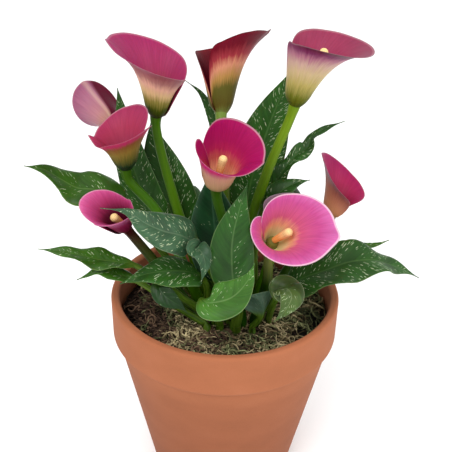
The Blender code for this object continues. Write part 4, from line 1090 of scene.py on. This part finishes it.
def moss_strands(name, material, settings, seed, centre, spread):
    """Loose strands: each walks on from its start with a steady turn and a slow change of it, and
    rises and falls as it lies over the others. They crowd round centre within spread, and thin out
    where the soil shows."""
    rng = np.random.default_rng(seed)
    scatter, heap_reach, heap_rise = 0.0060, 0.0090, 0.0026
    lowest, highest, clearance, rise, swing = 0.0006, 0.0128, 0.0001, 0.0026, 0.0012
    count = settings.moss_strands
    tries = count * 4
    radius = MOSS_RADIUS * np.sqrt(rng.random(HEAPS))
    turn = rng.random(HEAPS) * math.tau
    middles = joined(radius * np.cos(turn), radius * np.sin(turn))
    heap = rng.integers(0, HEAPS, tries)
    starts = middles[heap] + rng.normal(0.0, scatter, (tries, 2))
    heaped = rng.random(HEAPS)[heap]
    crowd = np.exp(-(((starts - centre) / spread) ** 2).sum(axis=1))
    bare = sum(np.exp(-(((starts - place) / size) ** 2).sum(axis=1)) for place, size in BARE_SOIL)
    keep = rng.random(tries) < (0.10 + 0.90 * crowd) * (1.0 - 0.97 * np.clip(bare, 0.0, 1.0))
    starts, middles, heaped = (each[keep][:count] for each in (starts, middles[heap], heaped))
    found = len(starts)
    one_each = (found, 1)
    share = np.linspace(0.0, 1.0, STRAND_POINTS)
    length = settings.strand_length * rng.uniform(0.5, 1.35, one_each)
    bend = rng.normal(0.0, 1.0, one_each) * 150.0 * settings.strand_length
    sway = rng.normal(0.0, 1.0, one_each) * 2.2 * np.sin(
        math.tau * (share * rng.uniform(0.6, 1.6, one_each) + rng.random(one_each))
    )
    heading = rng.random(one_each) * math.tau + bend * share + sway
    step = length / (STRAND_POINTS - 1)
    x = starts[:, :1] + np.cumsum(np.cos(heading) * step, axis=1)
    y = starts[:, 1:] + np.cumsum(np.sin(heading) * step, axis=1)
    pull = np.minimum(1.0, STRAND_LIMIT / np.maximum(np.hypot(x, y), 1e-6))
    x, y = x * pull, y * pull
    wave = np.sin(math.tau * (share * rng.uniform(0.8, 2.2, one_each) + rng.random(one_each)))
    lie = rng.random(one_each) ** 1.5
    apart = np.hypot(x - middles[:, :1], y - middles[:, 1:]) / heap_reach
    heap_height = heap_rise * heaped[:, None] * np.exp(-(apart**2))
    above_bed = clearance + rise * lie + swing * wave * (0.3 + lie) + heap_height
    z = np.clip(moss_level(x, y) + above_bed, lowest, highest) + SOIL_TOP
    line = joined(x, y, z)
    along = unit(np.gradient(line, axis=1))
    across = unit(np.cross(along, (0.13, 0.21, 0.97)))
    above = np.cross(across, along)
    slim = settings.strand_radius * np.array([0.35, *np.ones(STRAND_POINTS - 2), 0.3])
    slim = slim * rng.uniform(0.6, 1.5, one_each)
    turn = circle(STRAND_SIDES)[:, None]
    ring = np.cos(turn) * across[:, :, None] + np.sin(turn) * above[:, :, None]
    vertices = line[:, :, None] + ring * slim[..., None, None]
    size = STRAND_POINTS * STRAND_SIDES
    first = (np.arange(found) * size)[:, None, None]
    quads = grid_quads(STRAND_POINTS, STRAND_SIDES, closed=True)[:, ::-1] + first
    ends = np.array([(0, 1, 2), (size - 1, size - 2, size - 3)]) + first
    # painted light and shade: a strand is paler where it lies high over the bed and darker where it
    # lies low
    lit = np.clip(above_bed / (rise + heap_rise), 0.0, 1.0)
    tone = np.repeat(0.45 * rng.random(one_each) + 0.62 * lit, STRAND_SIDES, axis=1).ravel()
    return add_piece(
        name, vertices.reshape(-1, 3), quads.reshape(-1, 4), material, "moss",
        ["moss_top_dressing"], triangles=ends.reshape(-1, 3), tone=tone,
    )


# Stems, spathes and spadices


def root_foot(root):
    """Where a stem starts, 0.8 mm over the tuber. Its top is an ellipsoid, middle + reach times the
    root of 1 - u u - v v, where u and v are the shares of its reach at a place 4 mm further in."""
    clearance, further_in = 0.0008, 0.0040
    middle, level = np.array(TUBER_MIDDLE[:2]), TUBER_MIDDLE[2]
    inward = unit(middle - root) * further_in
    shares = (np.asarray(root) + inward - middle) / TUBER_REACH[:2]
    return (*root, level + TUBER_REACH[2] * math.sqrt(1.0 - (shares**2).sum()) + clearance)


def stem_piece(bloom, number):
    """A tube from the tuber through the soil and up the leaning route into the spathe's foot. Its
    radius falls from 4 mm to 3.1 mm, swells to 4 mm again to meet the spathe and rounds off inside
    it."""
    axis = unit(bloom.axis)
    base = np.asarray(bloom.base)
    turns = [(*bloom.root, STRAIGHT_TOP), *bloom.via, base - axis * 0.008, base + axis * 0.006]
    line = np.concatenate([[root_foot(bloom.root)], evenly(turns, 0, len(turns) - 1, STEM_RINGS)])
    reached = lengths_along(line)
    left = reached[-1] - reached
    waist, end, rounding = 0.0031, 0.004, 0.0016
    radii = np.interp(reached, (0.0, reached[-1]), (STEM_RADIUS, waist))
    radii = radii + (STEM_RADIUS - radii) * smoothstep(left, 0.016, 0.005)
    radii = np.where(left < end, STEM_RADIUS - rounding * (1.0 - left / end) ** 2, radii)
    radii = radii * (1.0 + 0.02 * value_noise(joined(reached * 70.0, 0.0, number), 3))
    vertices, quads, ends = tube_mesh(line, radii[:, None], STEM_SIDES, (0.0, 1.0, 0.0))
    turn = circle(STEM_SIDES)
    skin = joined(
        np.cos(turn) * STEM_RADIUS, np.sin(turn) * STEM_RADIUS, reached[:, None] + number * 0.5
    ).reshape(-1, 3)
    low = 0.13
    along = np.clip((vertices[:, 2] - low) / (bloom.base[2] - low), 0.0, 1.0)
    return add_piece(
        f"stem_{number}", vertices, quads, stem_material(f"stem_skin_{number}", *bloom.stem),
        "flower_stem", [f"flower_stem_{number}"], triangles=ends,
        skin=np.concatenate([skin, skin[:1], skin[-1:]]), along=along,
    )


def spathe_places(bloom, around, along, ripple, seed):
    """Points of a spathe for around from -1 to 1 between its margins and along from 0 to 1.

    Each meridian starts on a ring of 4.1 mm, bulges out over its first 6 mm and turns away from the
    axis by an angle that grows with the square of the way along, and from the lip to the tip. It is
    longest at the tip, stands out there in a point, and gets short near the margins, which run down
    into the throat. The ring opens into a spiral above its foot, so one margin lies outside the
    other, and seam shifts both round the funnel. The funnel leans towards its tip with the square
    of the height, and the lip ripples by smooth noise over the turn.
    """
    axis = unit(bloom.axis)
    side = unit(bloom.tip_side)
    forward = unit(side - axis * (side @ axis))
    across = np.cross(axis, forward)
    reach = math.pi + math.radians(bloom.overlap) / 2
    turn = reach * np.sign(around) * np.abs(around) ** 1.15
    nearness = (1.0 + np.cos(np.clip(turn, -math.pi, math.pi))) / 2
    length = bloom.lip_length + (bloom.tip_length - bloom.lip_length) * nearness**1.2
    length = length + bloom.cusp * np.exp(-((turn / math.radians(11.0)) ** 2))
    flare = np.radians(bloom.lip_flare + (bloom.tip_flare - bloom.lip_flare) * nearness)
    start = math.radians(MARGIN_START)
    fall = np.clip((np.abs(turn) - start) / (reach - start), 0.0, 1.0) ** 2.6
    drop = 1.0 - 0.78 * fall
    fine = np.linspace(0.0, 1.0, 240)
    distance = fine[None, :] * (length * drop)[:, None]
    opening = np.clip(distance / (length * drop**0.55)[:, None], 0.0, 1.0) ** 2
    foot = math.radians(FOOT_ANGLE)
    bulge = math.radians(bloom.bulge) * np.exp(-((distance / 0.006) ** 2))
    angle = foot + bulge + (flare[:, None] - foot) * opening
    middle = (angle[:, 1:] + angle[:, :-1]) / 2
    steps = np.diff(distance, axis=1)
    sample = along**0.85

    def carried(parts):
        reached = np.pad(np.cumsum(parts * steps, axis=1), ((0, 0), (1, 0)))
        return np.stack([np.interp(sample, fine, row) for row in reached])

    wrap = 0.0015 * (turn / math.tau)[:, None] * smoothstep(along, 0.0, 0.16)
    radius = carried(np.sin(middle)) + SHEET_FOOT + wrap
    waves = value_noise(joined(turn * 1.6, seed, 0.0), 7)
    waves = waves + 0.45 * value_noise(joined(turn * 4.1, seed, 0.0), 8)
    swing = ripple * waves[:, None] * smoothstep(along, 0.45, 1.0) * (1.0 - fall)[:, None]
    height = carried(np.cos(middle)) + swing
    lean = bloom.bend * height**2
    place = turn + math.radians(bloom.seam) * smoothstep(np.abs(turn) / math.pi)
    ahead = radius * np.cos(place * bloom.hand)[:, None] + lean
    aside = radius * np.sin(place * bloom.hand)[:, None]
    places = np.asarray(bloom.base) + height[..., None] * axis
    places = places + ahead[..., None] * forward + aside[..., None] * across
    return places, turn, sample[None, :] * (length * drop)[:, None]


def spathe_piece(bloom, number, settings):
    """Two faces of the rolled sheet, 0.6 mm apart and drawn together at the lip and foot, joined
    along all four borders."""
    around = np.linspace(-1.0, 1.0, SHEET_AROUND)
    along = np.linspace(0.0, 1.0, SHEET_ALONG)
    places, turn, metres = spathe_places(bloom, around, along, settings.lip_ripple, number * 3.7)
    normals = unit(np.cross(np.gradient(places, axis=0), np.gradient(places, axis=1)))
    axis = unit(bloom.axis)
    middle = SHEET_AROUND // 2
    outward = places[middle, 4] - np.asarray(bloom.base)
    outward = outward - axis * (outward @ axis)
    if normals[middle, 4] @ outward > 0.0:
        normals = -normals
    thin = 0.12 + 0.88 * smoothstep(1.0 - along, 0.0, 0.10)
    thin = thin * (0.2 + 0.8 * smoothstep(along, 0.0, 0.12))
    margin = 0.35 + 0.65 * smoothstep(1.0 - np.abs(around), 0.0, 0.06)
    half = (SHEET_HALF * thin[None, :] * margin[:, None])[..., None]
    faces = np.stack([places + normals * half, places - normals * half])
    rows, columns = places.shape[:2]
    count = rows * columns
    front = grid_quads(rows, columns)
    index = np.arange(count).reshape(rows, columns)
    border = np.concatenate([index[0, :-1], index[:-1, -1], index[-1, :0:-1], index[:0:-1, 0]])
    after = np.roll(border, -1)
    edge = joined(border, after, after + count, border + count)
    if np.cross(places[1, 0] - places[0, 0], places[0, 1] - places[0, 0]) @ normals[0, 0] > 0.0:
        front, edge = front[:, ::-1], edge[:, ::-1]
    lip = np.maximum(
        smoothstep(along, 0.93, 1.0),
        smoothstep(np.abs(around), 0.975, 1.0)[:, None] * (along > 0.25),
    )
    fields = {"along": (metres / metres.max() + along) / 2, "rim": lip,
              "half": (turn / math.pi)[:, None]}
    fields = {key: np.tile(np.broadcast_to(value, (rows, columns)).ravel(), 2)
              for key, value in fields.items()}
    skin = joined(turn[:, None], metres, number * 1.7).reshape(-1, 3)
    return add_piece(
        f"bloom_{number}", faces.reshape(-1, 3),
        np.concatenate([front, front[:, ::-1] + count, edge]),
        spathe_material(f"spathe_skin_{number}", bloom), "spathe", [f"spathe_{number}"],
        skin=np.tile(skin, (2, 1)), side=np.repeat([1.0, 0.0], count), **fields,
    )


def spadix_piece(bloom, number, material):
    """A club with a round end, its radius 2 mm at the foot and 2.85 mm at the top, covered with
    florets in two sets of spirals: |sin| of the sum and of the difference of turn and height."""
    axis = unit(bloom.axis)
    foot = np.asarray(bloom.base) + axis * 0.0072
    club = np.asarray(bloom.spadix_tip) - foot
    length = np.linalg.norm(club)
    upward = club / length
    across = unit(np.cross(upward, (0.3, 0.9, 0.1)))
    side = np.cross(upward, across)
    top = length - CLUB_RADIUS
    cap = np.radians(np.linspace(0.0, 80.0, 9)[1:])
    height = np.concatenate([np.linspace(0.0, top, CLUB_RINGS), top + CLUB_RADIUS * np.sin(cap)])
    shaft = np.interp(np.linspace(0, 1, CLUB_RINGS), (0, 0.5, 1), (0.0020, 0.0025, CLUB_RADIUS))
    radius = np.concatenate([shaft, CLUB_RADIUS * np.cos(cap)])
    turn = circle(CLUB_SIDES)
    spirals, climb, floret = 5.0, height[:, None] * 2400.0, 0.00016
    knob = np.abs(np.sin(turn * spirals + climb) * np.sin(turn * -spirals + climb))
    radii = radius[:, None] + floret * (knob - 0.5)
    ring = np.cos(turn)[:, None] * across + np.sin(turn)[:, None] * side
    line = foot + height[:, None] * upward
    rings = line[:, None] + radii[..., None] * ring
    vertices = np.concatenate([rings.reshape(-1, 3), [foot], [foot + upward * length]])
    quads, ends = closed_tube(len(height), CLUB_SIDES)
    return add_piece(
        f"club_{number}", vertices, quads, material, "spadix", [f"spadix_{number}"],
        triangles=ends, knob=np.concatenate([knob.ravel(), [0.5, 0.5]]),
        along=np.concatenate([np.repeat(height / length, CLUB_SIDES), [0.0, 1.0]]),
    )


# Leaves


def leaf_piece(leaf, number, settings, materials):
    """A round petiole that turns into a thin blade.

    Across runs from -1 to 1 between the margins. The half width follows a sine of a power of the
    way along, drawn out to the tip. The halves rise from the midrib by fold, the margins sink by
    curl and swing by wave, and the surface rises and falls softly between the side veins. The
    midrib is a groove above and a ridge below.
    """
    points = [(*leaf.root, STRAIGHT_TOP), *leaf.path]
    petiole = evenly(points, 0, leaf.stalk, PETIOLE_RINGS)
    blade = evenly(points, leaf.stalk, len(points) - 1, BLADE_RINGS)
    line = np.concatenate([[root_foot(leaf.root)], petiole, blade[1:]])
    tangents = np.gradient(line, axis=0)
    tangents[:2] = (0.0, 0.0, 1.0)
    tangents = unit(tangents)
    reached = lengths_along(line)
    foot = reached[PETIOLE_RINGS]
    share = np.clip((reached - foot) / (reached[-1] - foot), 0.0, 1.0)
    facing = np.outer(1.0 - share, leaf.face_foot) + np.outer(share, leaf.face_tip)
    upward = unit(facing - tangents * (facing * tangents).sum(axis=1)[:, None])
    sideways = np.cross(tangents, upward)
    climbed = np.clip(reached / foot, 0.0, 1.0)
    radius = leaf.foot_radius + (leaf.petiole_radius - leaf.foot_radius) * climbed
    radius = radius * (1.0 - 0.75 * share)
    outline = np.sin(math.pi * share**leaf.widest) ** (0.75 + leaf.taper * share**2)
    width = np.maximum(leaf.half_width * outline, 0.00022)
    width = np.where(share <= 0.0, radius, width)[:, None]
    even = np.linspace(-1.0, 1.0, BLADE_ACROSS)
    across = np.sign(even) * np.abs(even) ** 1.25
    phase = math.tau * leaf.waves * share[:, None] + 1.8 * np.tanh(across * 9.0)
    swing = np.sin(phase) * leaf.wave * across**2 * width / leaf.half_width
    rise = leaf.fold * (np.sqrt(across**2 + 0.02) - 0.14) - leaf.curl * np.abs(across) ** 3
    x = across * width
    past = (reached - foot)[:, None]
    vein = past - (0.9 + 0.8 * share[:, None]) * np.abs(x)
    spots = value_noise(joined(vein * 130.0, x * 60.0, number * 3.1), number)
    quilt = settings.vein_height * (np.sin(vein * math.tau / VEIN_STEP) + 1.6 * spots)
    quilt = quilt * smoothstep(np.abs(across), 0.0, 0.3)
    frill = value_noise(joined(past * 120.0, np.sign(across) * 3.0, number * 1.3), 9)
    frill = 0.03 * leaf.half_width * frill * across**4
    height = rise * width + swing + (quilt + frill) * np.clip(width / leaf.half_width, 0.0, 1.0)
    groove = np.exp(-((x / MIDRIB_HALF) ** 2)) * (1.0 - share[:, None])
    thin = BLADE_HALF * (0.35 + 0.65 * smoothstep(1.0 - np.abs(across), 0.0, 0.15))
    turns = math.pi * (1.0 - (np.arange(BLADE_ACROSS) + 0.5) / BLADE_ACROSS)
    blend = smoothstep((reached - foot + 0.002) / BLADE_OPENS)[:, None, None]

    def half_ring(side, rib):
        round_part = np.cos(turns)[None, :, None] * sideways[:, None]
        round_part = round_part + side * np.sin(turns)[None, :, None] * upward[:, None]
        flat = x[..., None] * sideways[:, None]
        flat = flat + (height + side * thin + rib)[..., None] * upward[:, None]
        return line[:, None] + (1.0 - blend) * radius[:, None, None] * round_part + blend * flat

    upper = half_ring(1.0, -0.00025 * groove)
    lower = half_ring(-1.0, -0.00055 * groove)
    rings = np.concatenate([upper, lower[:, ::-1]], axis=1)
    rows, around = rings.shape[:2]
    quads, ends = closed_tube(rows, around)
    veins, asides = (np.concatenate([value, value[:, ::-1]], axis=1) for value in (vein, x))
    edge = np.abs(np.concatenate([across, across[::-1]]))
    side = np.repeat([1.0, 0.0], BLADE_ACROSS)
    fields = joined(veins, asides, number * 0.07, edge, side, blend[:, :, 0]).reshape(-1, 6)
    fields = np.concatenate([fields, fields[:1], fields[-1:]])
    return add_piece(
        f"blade_{number}", np.concatenate([rings.reshape(-1, 3), line[:1], line[-1:]]), quads,
        materials[leaf.colour], "leaf", [f"leaf_{number}"], triangles=ends,
        vein=fields[:, :3], edge=fields[:, 3], side=fields[:, 4], blade=fields[:, 5],
    )


# Operators


class CALLA_OT_stage(bpy.types.Operator):
    """Camera, pale floor and soft studio light."""

    bl_idname = "calla.stage"
    bl_label = "Stage"

    def execute(self, context):
        settings = context.scene.calla_stage
        scene = context.scene
        view = Vector((0.0, math.sin(math.pi / 2 - settings.pitch), -math.sin(settings.pitch)))
        camera = bpy.data.objects.new("camera", bpy.data.cameras.new("camera"))
        camera.data.lens = settings.lens
        camera.data.sensor_width = 36.0
        camera.data.clip_start = 0.01
        camera.location = Vector((-0.0003, 0.0, 0.1994)) - view * settings.distance
        camera.rotation_mode = "ZYX"
        camera.rotation_euler = (math.pi / 2 - settings.pitch, 0.0, settings.roll)
        scene.collection.objects.link(camera)
        scene.camera = camera
        for name, place, size, power in (
            ("key_light", (-0.42, -0.95, 1.35), 0.9, settings.key_power),
            ("fill_light", (1.10, -0.45, 0.75), 0.8, settings.fill_power),
        ):
            light = bpy.data.lights.new(name, "AREA")
            light.size = size
            light.energy = power
            lamp = bpy.data.objects.new(name, light)
            lamp.location = place
            towards = Vector((0.0, 0.0, 0.2)) - lamp.location
            lamp.rotation_euler = towards.to_track_quat("-Z", "Y").to_euler()
            scene.collection.objects.link(lamp)
        world = bpy.data.worlds.new("soft_box")
        world.use_nodes = True
        background = world.node_tree.nodes["Background"].inputs
        background["Color"].default_value = (*WHITE, 1.0)
        background["Strength"].default_value = settings.sky
        scene.world = world
        scene.view_settings.view_transform = "Standard"
        mesh = bpy.data.meshes.new("floor")
        mesh.from_pydata([(-4, -4, 0), (4, -4, 0), (4, 4, 0), (-4, 4, 0)], [], [(0, 1, 2, 3)])
        shader = Shader("paper", 0.9, 0.2)
        fibres = shader.noise(shader.place(), 3.0)
        tint = ((0.3, (0.94, 0.94, 0.94, 1.0)), (0.7, (0.96, 0.96, 0.96, 1.0)))
        mesh.materials.append(shader.finish(shader.ramp(fibres, tint)))
        floor = bpy.data.objects.new("floor", mesh)
        scene.collection.objects.link(floor)
        floor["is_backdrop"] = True
        return {"FINISHED"}


class CALLA_OT_pot(bpy.types.Operator):
    """The clay pot with its rolled rim and drainage hole."""

    bl_idname = "calla.pot"
    bl_label = "Clay pot"

    def execute(self, context):
        pot_piece(context.scene.calla_pot)
        return {"FINISHED"}


class CALLA_OT_soil(bpy.types.Operator):
    """Compost, and the skin of the tuber in it."""

    bl_idname = "calla.soil"
    bl_label = "Soil and tuber"

    def execute(self, context):
        soil_piece(context.scene.calla_ground)
        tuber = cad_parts["tuber"]
        tuber.data.materials.clear()
        tuber.data.materials.append(tuber_material())
        return {"FINISHED"}


class CALLA_OT_moss(bpy.types.Operator):
    """A matted bed of moss with loose curly strands in three colours."""

    bl_idname = "calla.moss"
    bl_label = "Moss"

    def execute(self, context):
        settings = context.scene.calla_ground
        # the bed's nearly black tones are partly its own colour and partly painted shade, as it
        # shows only in the gaps between the strands
        moss_bed(moss_material("moss_mat", "0.18 0c0906, 0.55 1c150c, 0.95 33291a"))
        for seed, (name, tones, centre, spread) in enumerate(STRANDS, 1):
            material = moss_material(f"{name}_skin", tones)
            moss_strands(name, material, settings, seed, centre, spread)
        return {"FINISHED"}


class CALLA_OT_stems(bpy.types.Operator):
    """The ten flower stems."""

    bl_idname = "calla.stems"
    bl_label = "Stems"

    def execute(self, context):
        for number, bloom in enumerate(BLOOMS, 1):
            stem_piece(bloom, number)
        return {"FINISHED"}


class CALLA_OT_blooms(bpy.types.Operator):
    """The ten spathes and their spadices."""

    bl_idname = "calla.blooms"
    bl_label = "Blooms"

    def execute(self, context):
        settings = context.scene.calla_plant
        pollen = spadix_material(settings.spadix_colour)
        for number, bloom in enumerate(BLOOMS, 1):
            spathe_piece(bloom, number, settings)
            spadix_piece(bloom, number, pollen)
        return {"FINISHED"}


class CALLA_OT_leaves(bpy.types.Operator):
    """The twenty-two leaves."""

    bl_idname = "calla.leaves"
    bl_label = "Leaves"

    def execute(self, context):
        settings = context.scene.calla_plant
        materials = {
            kind: leaf_material(f"blade_{kind}", colours, settings.fleck_density)
            for kind, colours in LEAF_COLOURS.items()
        }
        for number, leaf in enumerate(LEAVES, 1):
            leaf_piece(leaf, number, settings, materials)
        return {"FINISHED"}


class CALLA_PT_panel(bpy.types.Panel):
    """Sizes, colours and build buttons of the potted calla lily."""

    bl_idname = "CALLA_PT_panel"
    bl_label = "Potted calla lily"
    bl_space_type = "VIEW_3D"
    bl_region_type = "UI"
    bl_category = "Calla"

    def draw(self, context):
        for label, group, operators in PANEL:
            box = self.layout.box()
            box.label(text=label)
            settings = getattr(context.scene, group)
            for name in type(settings).__annotations__:
                box.prop(settings, name)
            for operator in operators:
                box.operator(operator.bl_idname)


GROUPS = {
    "calla_pot": PotSettings,
    "calla_ground": GroundSettings,
    "calla_plant": PlantSettings,
    "calla_stage": StageSettings,
}
PANEL = (
    ("Pot", "calla_pot", (CALLA_OT_pot,)),
    ("Soil and moss", "calla_ground", (CALLA_OT_soil, CALLA_OT_moss)),
    ("Plant", "calla_plant", (CALLA_OT_stems, CALLA_OT_blooms, CALLA_OT_leaves)),
    ("Stage", "calla_stage", (CALLA_OT_stage,)),
)
CLASSES = (*GROUPS.values(), *(operator for row in PANEL for operator in row[2]), CALLA_PT_panel)


def register():
    for kind in CLASSES:
        bpy.utils.register_class(kind)
    for name, group in GROUPS.items():
        setattr(bpy.types.Scene, name, bpy.props.PointerProperty(type=group))


def unregister():
    for name in GROUPS:
        delattr(bpy.types.Scene, name)
    for kind in reversed(CLASSES):
        bpy.utils.unregister_class(kind)


def main():
    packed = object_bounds()
    register()
    for step in ("pot", "soil", "moss", "stems", "blooms", "leaves", "stage"):
        getattr(bpy.ops.calla, step)()
    sizes = {"packed": packed, "finished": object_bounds()}
    sizes = {key: [list(map(float, corner)) for corner in pair] for key, pair in sizes.items()}


if __name__ == "__main__":
    main()
